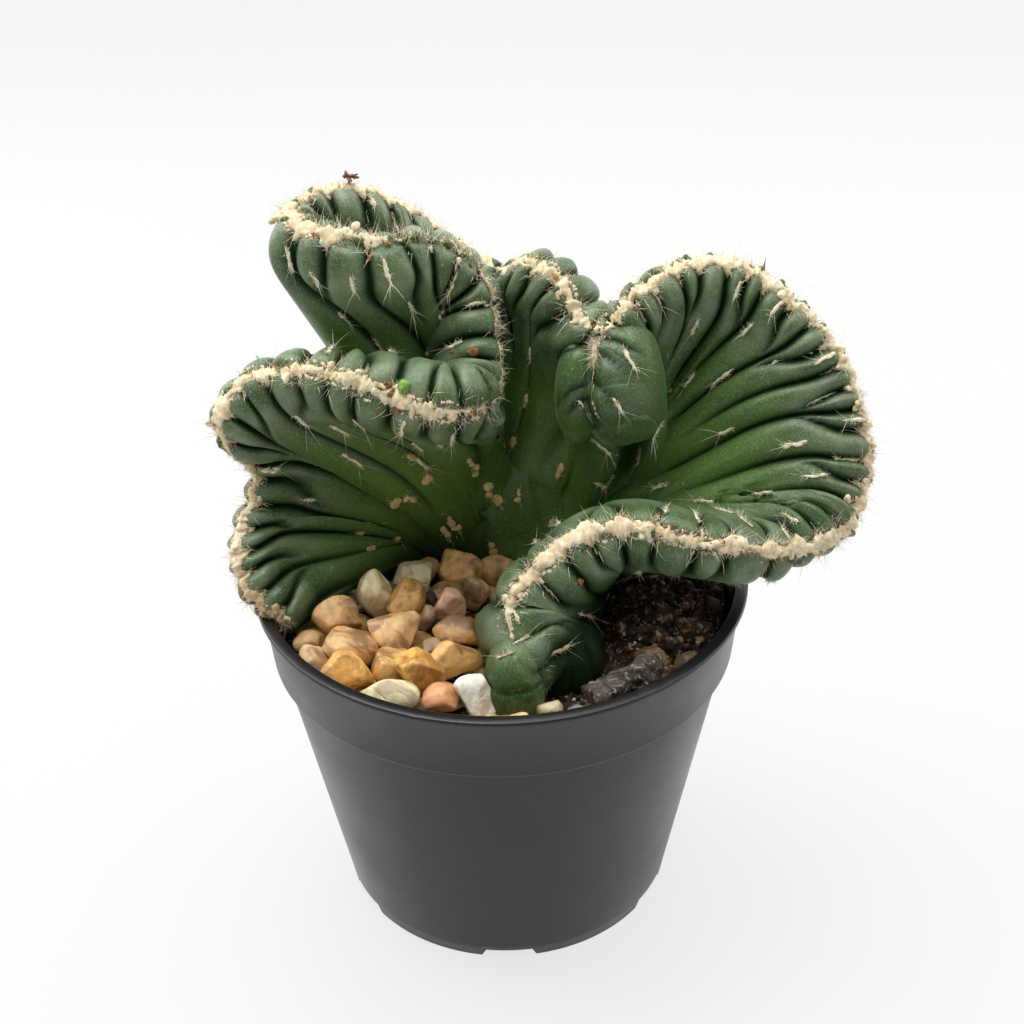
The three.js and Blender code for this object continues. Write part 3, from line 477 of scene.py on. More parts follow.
soil_finish, tree, shader = new_material("potting_mix", roughness=0.95)
point = object_point(tree)
loam = colour_ramp(tree, noise_value(tree, point, 420, 5, 0.7), [
    (0.38, (0.003, 0.002, 0.001)),
    (0.54, (0.022, 0.012, 0.007)),
    (0.70, (0.16, 0.090, 0.046)),
])
fleck_mask = value_ramp(tree, noise_value(tree, point, 1000, 2), 0.60, 0.68)
tree.links.new(mixed(tree, fleck_mask, loam, FLECK_COLOUR), shader.inputs["Base Color"])
add_bump(tree, shader, noise_value(tree, point, 1100, 5, 0.7), 0.0005)
finish_piece("potting_soil", mesh_of(soil_shape), soil_finish, ("soil",))


# Plant body. One crested cactus: its growing point has widened into a long winding
# crest, and the flesh below it is a folded fan of rounded ribs parted by furrows.
# Each station: crest point, lean, straight reach, neck, root, half thickness, in mm.
MAIN_CREST = [
    # low left lobe
    [(-49, -22, 86), (-0.35, -0.8, -0.3), 10, (-24, 9, 89), (-12, 22, 76), 5.5],
    [(-56, -20, 90), (-0.5, -0.85, 0.0), 16, (-28, 11, 92), (-12, 22, 76), 6.5],
    [(-62, -14.5, 96), (-0.55, -0.85, 0.0), 20, (-30, 12, 96), (-12, 22, 76), 7],
    [(-63, -8, 104), (-0.6, -0.8, 0.15), 20, (-29, 12, 99), (-11, 22, 76), 7],
    [(-60.5, -1, 111), (-0.7, -0.55, 0.4), 20, (-26, 14, 103), (-11, 22, 76), 6.8],
    # notch, then the middle left lobe
    [(-59.5, 1.5, 116), (-0.8, -0.5, 0.1), 20, (-25, 14, 106), (-10, 22, 76), 6.8],
    [(-64, -2, 125), (-0.7, -0.7, 0.1), 22, (-24, 14, 108), (-9, 22, 76), 7.4],
    [(-64.5, -4, 135), (-0.65, -0.65, 0.35), 24, (-21, 14, 110), (-8, 22, 76), 7.8],
    [(-59, -2, 143), (-0.6, -0.35, 0.7), 26, (-18, 14, 112), (-7, 22, 76), 8],
    [(-45, -5, 148), (-0.35, -0.45, 0.75), 26, (-15, 15, 115), (-6, 22, 76), 8.4],
    [(-35, -9, 147), (-0.2, -0.7, 0.6), 24, (-12, 16, 119), (-5, 23, 76), 8.8],
    [(-24, -13, 143), (-0.1, -0.95, 0.25), 20, (-10, 18, 122), (-4, 24, 76), 9.2],
    [(-14, -16, 141), (0.1, -0.98, 0.15), 16, (-9, 19, 124), (-4, 25, 76), 9.4],
    [(-6, -13, 140), (0.45, -0.85, 0.15), 14, (-8, 19, 125), (-4, 25, 76), 9.2],
    # turn back and up
    [(0, -6, 138), (0.85, -0.45, 0), 14, (-8, 19, 126), (-4, 25, 76), 8.8],
    [(2, 3, 140), (0.95, -0.25, -0.05), 15, (-8, 19, 127), (-4, 26, 76), 8.2],
    [(1, 11, 149), (0.95, -0.2, 0.15), 18, (-8, 19, 128), (-4, 26, 76), 8],
    [(-1, 15, 158), (0.7, -0.3, 0.62), 22, (-8, 19, 128), (-4, 27, 76), 8],
    # upper left lobe, front ridge then back ridge
    [(-9, 15, 167), (0.2, -0.45, 0.85), 27, (-8, 18, 128), (-4, 28, 76), 8.2],
    [(-18, 12, 171), (-0.05, -0.5, 0.85), 30, (-8, 18, 128), (-4, 28, 76), 8.4],
    [(-27, 8, 171), (-0.1, -0.52, 0.84), 32, (-9, 18, 128), (-4, 29, 76), 8.8],
    [(-37.5, 9.5, 173), (-0.2, -0.42, 0.88), 29, (-10, 18, 128), (-4, 29, 76), 9.2],
    [(-44.5, 13.5, 175), (-0.15, -0.15, 0.96), 25, (-10, 19, 128), (-4, 30, 76), 9.6],
    [(-46.5, 19, 176), (-0.12, 0.05, 0.97), 23, (-9, 20, 128), (-4, 31, 76), 9.4],
    [(-42, 24.5, 178), (-0.1, 0.15, 0.97), 25, (-7, 23, 127), (-3, 32, 76), 8.6],
    [(-31, 28, 178), (-0.05, 0.15, 0.97), 30, (-5, 26, 125), (-2, 32, 76), 8],
    [(-19, 31, 171), (0, 0.1, 1), 28, (-3, 29, 122), (0, 33, 76), 7.8],
    [(-7, 34, 160), (0.1, 0.1, 1), 22, (-1, 31, 118), (2, 34, 76), 7.6],
    # middle lobe
    [(1, 32, 155), (-0.2, -0.15, 0.97), 22, (4, 28, 116), (3, 33, 76), 7.6],
    [(7, 24, 161), (-0.15, -0.45, 0.88), 26, (6, 24, 114), (4, 32, 76), 8.4],
    [(15, 16, 158), (-0.05, -0.7, 0.72), 24, (9, 22, 113), (5, 30, 76), 9],
    [(18.5, 10.5, 151.5), (-0.05, -0.85, 0.5), 22, (12, 20, 112), (6, 28, 76), 8.8],
    # big right lobe
    [(23.2, 6, 150), (-0.15, -0.75, 0.65), 22, (15, 20, 110), (8, 26, 76), 8],
    [(31, 10.5, 157.5), (-0.3, -0.5, 0.8), 26, (18, 20, 108), (9, 25, 76), 7.6],
    [(45, 18, 162), (0, -0.2, 1), 30, (21, 20, 106), (10, 24, 76), 7.6],
    [(58, 18, 161), (0.25, -0.15, 0.95), 32, (24, 20, 104), (11, 24, 76), 7.6],
    [(70, 14, 154), (0.55, -0.15, 0.8), 32, (26, 20, 102), (12, 23, 76), 7.6],
    [(80, 8, 143), (0.85, -0.15, 0.5), 32, (28, 18, 100), (12, 23, 76), 7.6],
    [(86, 1, 130), (0.97, -0.2, 0.15), 32, (29, 16, 98), (12, 22, 76), 7.6],
    [(87, -7, 119), (0.93, -0.35, 0.05), 32, (29, 13, 97), (12, 21, 76), 7.8],
    [(80, -18, 110), (0.65, -0.75, 0.1), 30, (28, 10, 96), (12, 20, 76), 8],
    [(64, -26, 108), (0.25, -0.9, 0.25), 26, (26, 6, 96), (12, 18, 76), 8.6],
    [(47, -28, 113), (0, -0.9, 0.4), 24, (23, 3, 96), (12, 15, 76), 9],
    [(32, -27, 117), (-0.05, -0.85, 0.5), 22, (20, 0, 95), (12, 11, 76), 9.4],
    [(20, -26, 115), (-0.2, -0.75, 0.62), 20, (18, -5, 94), (13, 5, 76), 9.8],
    # front arm, down to the soil
    [(8, -29, 109), (-0.3, -0.65, 0.7), 18, (17, -10, 91), (13, -2, 76), 10.4],
    [(1, -34, 102), (-0.45, -0.85, 0.3), 16, (15, -16, 88), (13, -8, 74), 11],
    [(3, -40, 95), (-0.1, -0.98, 0.2), 14, (13, -22, 84), (12, -14, 74), 11],
    [(8, -44, 89), (0.1, -0.99, -0.05), 12, (12, -28, 80), (11, -20, 74), 10],
    [(9, -44, 84), (0.05, -0.93, -0.3), 10, (11, -32, 76), (11, -24, 72), 8],
]
# the short fold beside the notch, which branches off the big right lobe
FOLD_CREST = [
    [(23.4, 6, 149.5), (-0.35, -0.85, 0.4), 18, (30, 20, 117), (14, 24, 76), 3.5],
    [(22.8, 3.5, 148), (-0.5, -0.8, 0.3), 18, (31, 20, 116), (14, 24, 76), 6],
    [(22.2, 1, 145.6), (-0.6, -0.78, 0.2), 18, (31, 19, 115), (14, 23, 76), 8.2],
    [(21.6, -1, 142.8), (-0.75, -0.66, 0.1), 18, (32, 18, 114), (14, 22, 76), 9.6],
    [(21, -2, 140), (-0.8, -0.6, -0.05), 18, (32, 16, 112), (14, 21, 76), 10.2],
    [(21, -4, 135), (-0.8, -0.6, -0.15), 17, (32, 14, 110), (14, 20, 76), 10.0],
    [(23.5, -3.5, 130), (-0.6, -0.65, -0.45), 15, (31, 13, 107), (14, 19, 76), 8.5],
    [(27, -1.5, 126.5), (-0.4, -0.65, -0.65), 13, (31, 13, 105), (14, 18, 76), 6.5],
]
# the main crest is cut into parts at these stations
FAN_PARTS = {
    "left_fans": (0, 14),
    "upper_fans": (14, 28),
    "right_fans": (28, 40),
    "front_arm": (40, 49),
}
RIB_PITCH = 6.7
RIB_SPREAD = 1.3
# stations between which the ribs are wider, and by how much
WIDE_RUNS = ((5, 13, 1.2), (15, 22, 1.15), (41, 47, 1.35))
FURROW_DEPTH = 4.8
FURROW_REACH = (66, 15, 40, 19)
SHORT_REACH = 30
BED_WIDTH = 0.95
CREST_GROOVE = 1.3
GROOVE_HALF = 1.7
# stations between which one face is smoother, and its share of the relief
CALM_RUNS = ((22, 27, "back", 0.62), (32, 41, "back", 0.75), (40.5, 46.5, "front", 0.5))
FOLD_CALM = 0.08
FLESH_FLOOR = 75.0
# share of painted shade low in the left valley
VALLEY_SHADE = 0.72
ROOT_SHARE = 0.06
COLUMN_STEP = 0.46
EDGE_ROWS = 14
FACE_ROWS = 38
# grey bloom on the rib tops near the crest, partly real bloom and partly a painted highlight
BLOOM_AND_HIGHLIGHT_COLOUR = (0.160, 0.205, 0.115, 1)
SPECKLE_COLOUR = (0.22, 0.30, 0.135, 1)
DOT_COLOUR = (0.42, 0.45, 0.30, 1)
# painted shade on the flanks of the ribs, down into the furrows
FLANK_SHADE_COLOUR = (0.010, 0.030, 0.007, 1)
# painted shade in the furrow beds, in the low left valley and on the foot under the arm
BED_SHADE_COLOUR = (0.004, 0.012, 0.004, 1)


def station_values(stations, u):
    """Smooth values through the stations at distances u along the crest."""
    rows = np.array([[*c, *(Vector(l).normalized()), r, *n, *f, t]
                     for c, l, r, n, f, t in stations], float)
    gaps = np.linalg.norm(np.diff(rows[:, :3], axis=0), axis=1)
    knots = np.concatenate(([0], np.cumsum(gaps)))
    steps = np.diff(rows, axis=0) / gaps[:, None]
    slopes = np.concatenate((steps[:1], steps[:1].repeat(len(rows) - 2, 0), steps[-1:]))
    before, after = gaps[:-1, None], gaps[1:, None]
    slopes[1:-1] = (steps[:-1] * after + steps[1:] * before) / (before + after)
    i = np.clip(np.searchsorted(knots, u, side="right") - 1, 0, len(gaps) - 1)
    x = ((u - knots[i]) / gaps[i])[:, None]
    gap = gaps[i][:, None]
    return (
        (2 * x ** 3 - 3 * x ** 2 + 1) * rows[i]
        + (x ** 3 - 2 * x ** 2 + x) * gap * slopes[i]
        + (3 * x ** 2 - 2 * x ** 3) * rows[i + 1]
        + (x ** 3 - x ** 2) * gap * slopes[i + 1]
    ), knots


def rib_points(values, share):
    """Points on each rib's middle line, share 0 at the root and 1 on the crest."""
    crest, lean, reach = values[:, :3], values[:, 3:6], values[:, 6:7]
    lean = lean / np.linalg.norm(lean, axis=1)[:, None]
    neck, root = values[:, 7:10], values[:, 10:13]
    bend = crest - lean * reach
    s = share[..., None]
    return (
        (1 - s) ** 3 * root[:, None] + 3 * (1 - s) ** 2 * s * neck[:, None]
        + 3 * (1 - s) * s ** 2 * bend[:, None] + s ** 3 * crest[:, None]
    )


def unit(vectors):
    return vectors / (np.linalg.norm(vectors, axis=-1, keepdims=True) + 1e-12)


def blurred(grid, width):
    """Running mean along the crest."""
    padded = np.concatenate((grid[:1].repeat(width, 0), grid, grid[-1:].repeat(width, 0)))
    total = np.cumsum(padded, axis=0)
    size = 2 * width + 1
    shifted = np.concatenate((np.zeros_like(total[:1]), total))
    return (shifted[size:] - shifted[:-size])[:len(grid)] / size


def furrow_relief(u, below, length, seed, wide_runs=()):
    """Depth share of the furrows, a narrow mask along their beds, and where they start."""
    draw = np.random.default_rng(seed)
    places = [0.0]
    while places[-1] < length:
        stretch = 1.0
        for low, high, factor in wide_runs:
            if low < places[-1] < high:
                stretch = factor
        step = RIB_PITCH + draw.uniform(-RIB_SPREAD, RIB_SPREAD)
        places.append(places[-1] + stretch * step)
    places = np.array(places) * length / places[-1]
    depth = np.zeros_like(below)
    bed = np.zeros_like(below)
    for i, place in enumerate(places):
        reach = FURROW_REACH[i % 4] * draw.uniform(0.75, 1.3)
        bend = draw.uniform(-0.5, 0.5)
        weight = draw.uniform(0.72, 1.08)
        near = (u > place - 30) & (u < place + 30)
        down = below[near]
        sway = 1.9 * np.sin(down / 9 + place / 28) * smooth_step(down, 2, 14)
        if reach < SHORT_REACH:
            sway = sway + draw.choice((-1, 1)) * RIB_PITCH * 0.7 * smooth_step(down, 4, reach)
        apart = np.abs(u[near][:, None] - place - sway - bend * down / 12)
        widening = 1 + (reach > SHORT_REACH) * smooth_step(down, 12, 42) * (reach / SHORT_REACH)
        width = RIB_PITCH * 0.56 * widening
        fade = np.clip(1 - (down / reach) ** 2.2, 0, 1) ** 0.8
        edge = np.clip(1 - apart / width, 0, 1)
        cut = 1 - np.sqrt(1 - (0.985 * edge) ** 2)
        depth[near] = np.maximum(depth[near], weight * fade * cut)
        bed[near] = np.maximum(bed[near], fade * np.exp(-(apart / BED_WIDTH) ** 2))
    return depth, bed, places


def at_stations(knots, numbers):
    """Distances along a crest at station numbers, which may lie between two stations."""
    return np.interp(numbers, np.arange(len(knots)), knots)


def column_at(fan, run, margin=3):
    """The column at a distance along a fan's crest, kept off its two ends."""
    return int(np.clip(np.searchsorted(fan["u"], run), margin, len(fan["u"]) - margin - 1))


def fan_surface(stations, seed, calm_runs=(), wide_runs=(), furrows=1.0):
    """The fan's two faces and its middle, as grids: columns along the crest, rows down."""
    knots = station_values(stations, np.zeros(1))[1]
    length = knots[-1]
    u = np.linspace(0, length, int(length / COLUMN_STEP))
    values = station_values(stations, u)[0]
    thick = values[:, 13:14]
    coarse = np.linspace(ROOT_SHARE, 1, 60)[None].repeat(len(u), 0)
    line = rib_points(values, coarse)
    pieces = np.linalg.norm(np.diff(line, axis=1), axis=2)[:, ::-1]
    marks = np.concatenate((np.zeros((len(u), 1)), np.cumsum(pieces, axis=1)), axis=1)
    turn = thick * (1 - np.cos(np.linspace(0, 1, EDGE_ROWS) * math.pi / 2))[None]
    rest = np.linspace(0, 1, FACE_ROWS + 1)[None, 1:] ** 1.15
    below = np.concatenate((turn, thick + (marks[:, -1:] - thick) * rest), axis=1)
    share = np.array([np.interp(d, m, s[::-1]) for d, m, s in zip(below, marks, coarse)])
    middle = rib_points(values, share)
    along = np.gradient(middle, axis=0)
    normal = unit(np.cross(along, -np.gradient(middle, axis=1)))
    smooth_normal = blurred(normal, 5)
    turning = np.gradient(smooth_normal, axis=0)
    bend = -(turning * along).sum(2) / ((along ** 2).sum(2) + 1e-9)
    from_end = np.clip(np.minimum(u, length - u)[:, None] / thick, 0, 1)
    edge = np.maximum(0.12, np.sqrt(1 - (1 - from_end) ** 2))
    inward = np.clip(1 - below / thick, 0, 1)
    half = thick * edge * np.sqrt(1 - inward ** 2)
    front = np.where(bend > 0, np.minimum(half, 0.9 / np.maximum(bend, 1e-6)), half)
    back = np.where(bend < 0, np.minimum(half, 0.9 / np.maximum(-bend, 1e-6)), half)
    front, back = blurred(front, 3), blurred(back, 3)
    calm = {"front": np.ones_like(below), "back": np.ones_like(below)}
    for low, high, side, share in calm_runs:
        start, end = at_stations(knots, (low, high))
        run = smooth_step(u, start, start + 6) * (1 - smooth_step(u, end - 6, end))
        calm[side] *= 1 - (1 - share) * run[:, None] * np.exp(-below / 16)
    front, back = front * calm["front"], back * calm["back"]
    wide = [(*at_stations(knots, run[:2]), run[2]) for run in wide_runs]
    relief, bed, places = furrow_relief(u, below, length, seed, wide)
    relief, bed = relief * furrows, bed * furrows
    swell = 0.5 * np.sin(u[:, None] / 9.0 + below / 14) * np.sin(u[:, None] / 23.0 - below / 9)
    sides = {}
    lean = unit(values[:, 3:6])[:, None]
    dip = FURROW_DEPTH * 0.45 * relief[:, :1] * edge * np.exp(-below / 4)
    groove = CREST_GROOVE * edge * np.exp(-(np.minimum(front, back) / GROOVE_HALF) ** 2)
    middle = middle - lean * (dip + groove)[..., None]
    for name, thickness, way in (("front", front, 1), ("back", back, -1)):
        cut = FURROW_DEPTH * relief * edge * np.clip(thickness / 2.5, 0, 1) * calm[name]
        uneven = swell * np.clip(thickness / 6, 0, 1) * way
        depth = np.maximum(thickness * 0.35, thickness - cut + uneven)
        depth = np.where(thickness < 0.05, thickness, depth)
        sides[name] = middle + normal * depth[..., None] * way
    return {"u": u, "below": below, "relief": relief, "bed": bed, "lean": lean[:, 0],
            "along": unit(np.gradient(middle[:, 0], axis=0)), "middle": middle,
            "normal": normal, "places": places, "thick": thick, **sides}


def clear_of_rim(points):
    """Lifts or draws in what would cut into the pot, so that the flesh lies on its rim."""
    points[:, 2] = np.maximum(points[:, 2], FLESH_FLOOR)
    radius = np.hypot(points[:, 0], points[:, 1])
    room = RIM_INNER - 0.4
    low = points[:, 2] < POT_HEIGHT + 0.3
    outside = (radius > room) & low
    deep = POT_HEIGHT + 0.3 - points[:, 2]
    lift = outside & (deep < radius - room + 6)
    points[lift, 2] = POT_HEIGHT + 0.3
    draw_in = outside & ~lift
    points[draw_in, :2] *= (room / radius[draw_in])[:, None]
    return points


def painted_shade_share(points):
    """How dark the flesh is painted as shade: low in the left valley, and on the foot under the
    arm.
    """
    x, y, z = points[:, 0], points[:, 1], points[:, 2]
    valley = smooth_step(x, -46, -22) * (1 - smooth_step(x, -6, 6)) * smooth_step(-z, -108, -88)
    foot = smooth_step(x, 7, 13) * smooth_step(-z, -100, -92) * (y < -8)
    return np.maximum(VALLEY_SHADE * valley, foot)


def grid_to_roll(columns, ring):
    """A flat grid that is to be rolled up, with each point's column and place in the ring."""
    shape = bmesh.new()
    bmesh.ops.create_grid(shape, x_segments=columns - 1, y_segments=ring, size=1)
    mesh = bpy.data.meshes.new("sheet")
    shape.to_mesh(mesh)
    shape.free()
    flat = positions(mesh)
    column = np.rint((flat[:, 0] + 1) / 2 * (columns - 1)).astype(int)
    return mesh, column, np.rint((flat[:, 1] + 1) / 2 * ring).astype(int) % ring


def wrapped_sheet(fan, first, last):
    """A closed mesh of the fan between two columns: back face, crest, front face."""
    rows = fan["below"].shape[1]
    mesh, column, row = grid_to_roll(last - first + 1, 2 * rows - 1)
    column += first
    on_front = row >= rows
    depth_row = np.where(on_front, row - rows + 1, rows - 1 - row)
    points = np.where(on_front[:, None], fan["front"][column, depth_row],
                      fan["back"][column, depth_row])
    move_to(mesh, clear_of_rim(points) * MM)
    # The furrow beds and the painted shade of the valley and the foot darken the skin.
    looks = {
        "below_crest": fan["below"][column, depth_row],
        "furrow": fan["relief"][column, depth_row],
        "furrow_bed": np.maximum(fan["bed"][column, depth_row], painted_shade_share(points)),
    }
    for name, numbers in looks.items():
        layer = mesh.attributes.new(name, "FLOAT", "POINT")
        layer.data.foreach_set("value", numbers.astype(np.float32))
    seam = (row == 0).tolist()
    shape = bmesh.new()
    shape.from_mesh(mesh)
    bmesh.ops.remove_doubles(shape, verts=[v for v, s in zip(shape.verts, seam) if s], dist=1e-7)
    ends = [e for e in shape.edges if e.is_boundary]
    bmesh.ops.holes_fill(shape, edges=ends, sides=0)
    caps = [f for f in shape.faces if len(f.verts) > 4]
    bmesh.ops.triangulate(shape, faces=caps)
    bpy.data.meshes.remove(mesh)
    return mesh_of(shape)


def skin_finish():
    """Waxy green skin: grey bloom on the rib tops, partly a painted highlight; painted shade on
    the furrow flanks, in the furrow beds and on shaded flesh; fine pale speckle.
    """
    made, tree, shader = new_material("waxy_green_skin", roughness=0.5)
    point = object_point(tree)
    read = {}
    for key in ("below_crest", "furrow", "furrow_bed"):
        read[key] = add_node(tree, "ShaderNodeAttribute", attribute_name=key).outputs["Fac"]
    cloud = noise_value(tree, point, 45, 4, 0.6)
    young = colour_ramp(tree, cloud, [
        (0.30, (0.014, 0.043, 0.007)),
        (0.70, (0.038, 0.090, 0.017)),
    ])
    old = colour_ramp(tree, cloud, [
        (0.30, (0.032, 0.088, 0.007)),
        (0.70, (0.085, 0.185, 0.020)),
    ])
    age = value_ramp(tree, read["below_crest"], 6, 34)
    skin = mixed(tree, age, young, old)
    # Rib tops near the crest, away from the furrows: partly real bloom, partly a painted
    # highlight.
    bloom_and_highlight = product(tree, value_ramp(tree, read["furrow"], 0.42, 0.0),
                   value_ramp(tree, read["below_crest"], 30, 4))
    bloom_and_highlight = product(tree, bloom_and_highlight, value_ramp(tree, noise_value(tree, point, 120, 4), 0.3, 0.7))
    skin = mixed(tree, product(tree, bloom_and_highlight, 0.85), skin, BLOOM_AND_HIGHLIGHT_COLOUR)
    speckle = value_ramp(tree, noise_value(tree, point, 2500, 2, 0.8), 0.50, 0.66)
    skin = mixed(tree, product(tree, speckle, 0.55), skin, SPECKLE_COLOUR)
    dots = add_node(tree, "ShaderNodeTexVoronoi", {"Vector": point, "Scale": 260.0})
    dot = value_ramp(tree, dots.outputs["Distance"], 0.11, 0.05)
    pick = value_ramp(tree, noise_value(tree, point, 200, 1), 0.55, 0.62)
    skin = mixed(tree, product(tree, product(tree, dot, pick), 0.55), skin, DOT_COLOUR)
    # Painted shade: the flanks darken towards the furrows and round the short fold.
    flank_shade = value_ramp(tree, read["furrow"], 0.10, 0.6, 0.0, 0.62)
    skin = mixed(tree, flank_shade, skin, FLANK_SHADE_COLOUR)
    # Painted shade in the furrow beds, in the left valley and on the arm's foot; the gloss and
    # sheen fade with it.
    bed = product(tree, read["furrow_bed"], 0.9)
    skin = mixed(tree, bed, skin, BED_SHADE_COLOUR)
    tree.links.new(skin, shader.inputs["Base Color"])
    rough = value_ramp(tree, noise_value(tree, point, 300, 3), 0.3, 0.7, 0.36, 0.50)
    tree.links.new(rough, shader.inputs["Roughness"])
    gloss = value_ramp(tree, read["furrow_bed"], 0.2, 0.95, 0.5, 0.03)
    tree.links.new(gloss, shader.inputs["Specular IOR Level"])
    tree.links.new(product(tree, gloss, 0.28), shader.inputs["Sheen Weight"])
    shader.inputs["Sheen Roughness"].default_value = 0.35
    shader.inputs["Sheen Tint"].default_value = (0.80, 1.0, 0.72, 1)
    fine = noise_value(tree, point, 1500, 3, 0.6)
    broad = noise_value(tree, point, 260, 3, 0.6)
    height = mixed(tree, 0.35, fine, broad)
    add_bump(tree, shader, height, 0.00022, 0.8)
    return made


def flesh_piece(name, mesh):
    """A piece of the plant's body, in its skin."""
    return finish_piece(name, mesh, cactus_skin, ("cactus_body",))


cactus_skin = skin_finish()
main_fan = fan_surface(MAIN_CREST, 11, calm_runs=CALM_RUNS, wide_runs=WIDE_RUNS)
fold_fan = fan_surface(FOLD_CREST, 12, furrows=FOLD_CALM)
knots = station_values(MAIN_CREST, np.zeros(1))[1]
flesh = []
for name, (start, end) in FAN_PARTS.items():
    first = max(0, int(np.searchsorted(main_fan["u"], knots[start])) - 2)
    last = min(int(np.searchsorted(main_fan["u"], knots[end])), len(main_fan["u"]) - 1)
    flesh.append(flesh_piece(name, wrapped_sheet(main_fan, first, last)))
sheet = wrapped_sheet(fold_fan, 0, len(fold_fan["u"]) - 1)
flesh.append(flesh_piece("branching_fold", sheet))


# Stem. The old woody base of the plant, where all the fans run together, with the foot of
# the front arm and a small lobe beside it. They stand in the soil, shallowly ribbed, coloured
# by age and darkened with painted shade, most of all on the foot under the arm. Two rounded
# swellings higher up fill out the short fold.
BODY_FLOOR = 81.0
BASE_DEPTH = 5.0
BASE_ROWS = 26
BASE_SEGMENTS = 96
BASES = (
    # middle x and y, half widths, top, age, folds, shade, height of a crease round it
    (4, 21, 23, 13, 107, 60, 8, 0.2, 0),
    (-6, 23, 9, 8, 146, 60, 8, 0.2, 0),
    (13, -27, 11, 13, 92, 10, 10, 1, 0),
    (2.2, -41.5, 6.6, 7.8, 95, 17, 2, 0, 87.5),
)
BASE_FOLD = 0.12
BASE_CREASE = 0.10
CREASE_WIDTH = 0.7
SWELLS = (
    # middle, half sizes, cuts of the ball
    ((30.4, 4.6, 136), (8.6, 9.2, 13.8), 6),
    ((18.0, 5.4, 133.5), (4.7, 5.0, 12.0), 5),
)
SWELL_AGE = 17


def join_to(whole, part):
    """Adds a mesh to a larger shape, and drops the mesh."""
    whole.from_mesh(part)
    bpy.data.meshes.remove(part)


base_whole = bmesh.new()
for number, foot in enumerate(BASES):
    middle_x, middle_y, half_x, half_y, top, age, folds, shade, crease = foot
    outline = [(0, BODY_FLOOR - BASE_DEPTH), (0.9, BODY_FLOOR - BASE_DEPTH)]
    for step in range(BASE_ROWS + 1):
        angle = math.pi / 2 * step / BASE_ROWS
        height = BODY_FLOOR + (top - BODY_FLOOR) * math.sin(angle)
        outline.append((max(0, math.cos(angle)) ** 0.75, height))
    base = turned_mesh(outline, BASE_SEGMENTS)
    layer = base.verts.layers.float.new("below_crest")
    shaded = base.verts.layers.float.new("furrow_bed")
    for vertex in base.verts:
        angle = math.atan2(vertex.co.y, vertex.co.x)
        height = vertex.co.z / MM
        fold = 1 - abs(math.sin(angle * folds / 2 + number + height * 0.018))
        rib = 1 - BASE_FOLD * fold ** 2 * smooth_step(vertex.co.xy.length / MM, 0.1, 0.6)
        rib -= BASE_CREASE * math.exp(-((height - crease) / CREASE_WIDTH) ** 2)
        x = vertex.co.x / MM * half_x * rib + middle_x
        y = vertex.co.y / MM * half_y * rib + middle_y
        vertex.co = Vector((x, y, height)) * MM
        vertex[layer] = age
        # painted shade: the shade column, and the painted shade of the valley and the foot
        vertex[shaded] = max(shade, painted_shade_share(np.array([[x, y, height]]))[0])
    join_to(base_whole, mesh_of(base))
for centre, half, cuts in SWELLS:
    ball = bmesh.new()
    bmesh.ops.create_icosphere(ball, subdivisions=cuts, radius=1)
    layer = ball.verts.layers.float.new("below_crest")
    for vertex in ball.verts:
        vertex.co = (Vector(centre) + vertex.co * Vector(half)) * MM
        vertex[layer] = SWELL_AGE
    join_to(base_whole, mesh_of(ball))
flesh.append(flesh_piece("stem_base", mesh_of(base_whole)))


# Joins. Folds of the same plant that touch have grown together in a soft crease. Each one
# swells a little where it comes near the next, but not where their skins run on as one.
JOIN_REACH = 6.5
SAME_SKIN = 0.88


def soften_joins(pieces, reach):
    """Swells the flesh where two folds meet; each face's corners start at the lowest number."""
    trees = []
    for piece in pieces:
        sides = [list(f.vertices) for f in piece.data.polygons if len(f.vertices) == 4]
        for side in sides:
            start = side.index(min(side))
            side[:] = side[start:] + side[:start]
        trees.append(BVHTree.FromPolygons([v.co for v in piece.data.vertices], sides))
    moved = []
    for number, piece in enumerate(pieces):
        mesh = piece.data
        push = np.zeros(len(mesh.vertices))
        for i, vertex in enumerate(mesh.vertices):
            for other, tree in enumerate(trees):
                if other == number:
                    continue
                near, normal, _, distance = tree.find_nearest(vertex.co, reach)
                if near is None:
                    continue
                turned_away = (SAME_SKIN - normal.dot(vertex.normal)) / 0.3
                swell = (reach - distance) ** 2 / (4 * reach) * min(1, max(0, turned_away))
                push[i] = max(push[i], swell)
        moved.append(push)
    for piece, push in zip(pieces, moved):
        shape = bmesh.new()
        shape.from_mesh(piece.data)
        for vertex, amount in zip(shape.verts, push):
            vertex.co += vertex.normal * amount
        shape.to_mesh(piece.data)
        shape.free()
        move_to(piece.data, clear_of_rim(positions(piece.data) / MM) * MM)


soften_joins(flesh, JOIN_REACH * MM)


# Short fold's furrows. The short fold beside the notch grows like a bud: arched furrows
# are nested round its two sides, cut into the skin of whatever piece lies there.
FOLD_MIDDLE = (21.7, -0.5, 144.3)
FOLD_FURROWS = (
    # each line as seen from the front: mm across and up from the middle, inner end first
    ((3.0, 6.2), (5.9, 5.5), (8.3, 3.8), (10.6, 2.6), (12.6, 0.4)),
    ((0.5, 2.7), (3.2, 1.9), (5.3, 0.3), (7.5, -1.5), (9.0, -3.8)),
    ((0.1, -2.2), (1.1, -4.2), (2.8, -6.1), (5.2, -8.1), (6.7, -10.4)),
    ((-0.9, -6.9), (-0.3, -9.2), (1.1, -12.3), (2.6, -15.4)),
    ((-1.4, 5.5), (-4.1, 4.3), (-6.5, 3.4), (-8.8, 0.9), (-10.3, -2.2)),
    ((-1.8, -4.2), (-4.5, -5.3), (-6.9, -7.1), (-8.4, -10.4)),
    ((-1.2, -7.2), (-3.4, -8.4), (-5.1, -10.4), (-5.6, -13.0)),
)
FOLD_CUT = 1.9
FOLD_ROUNDING = 2.7
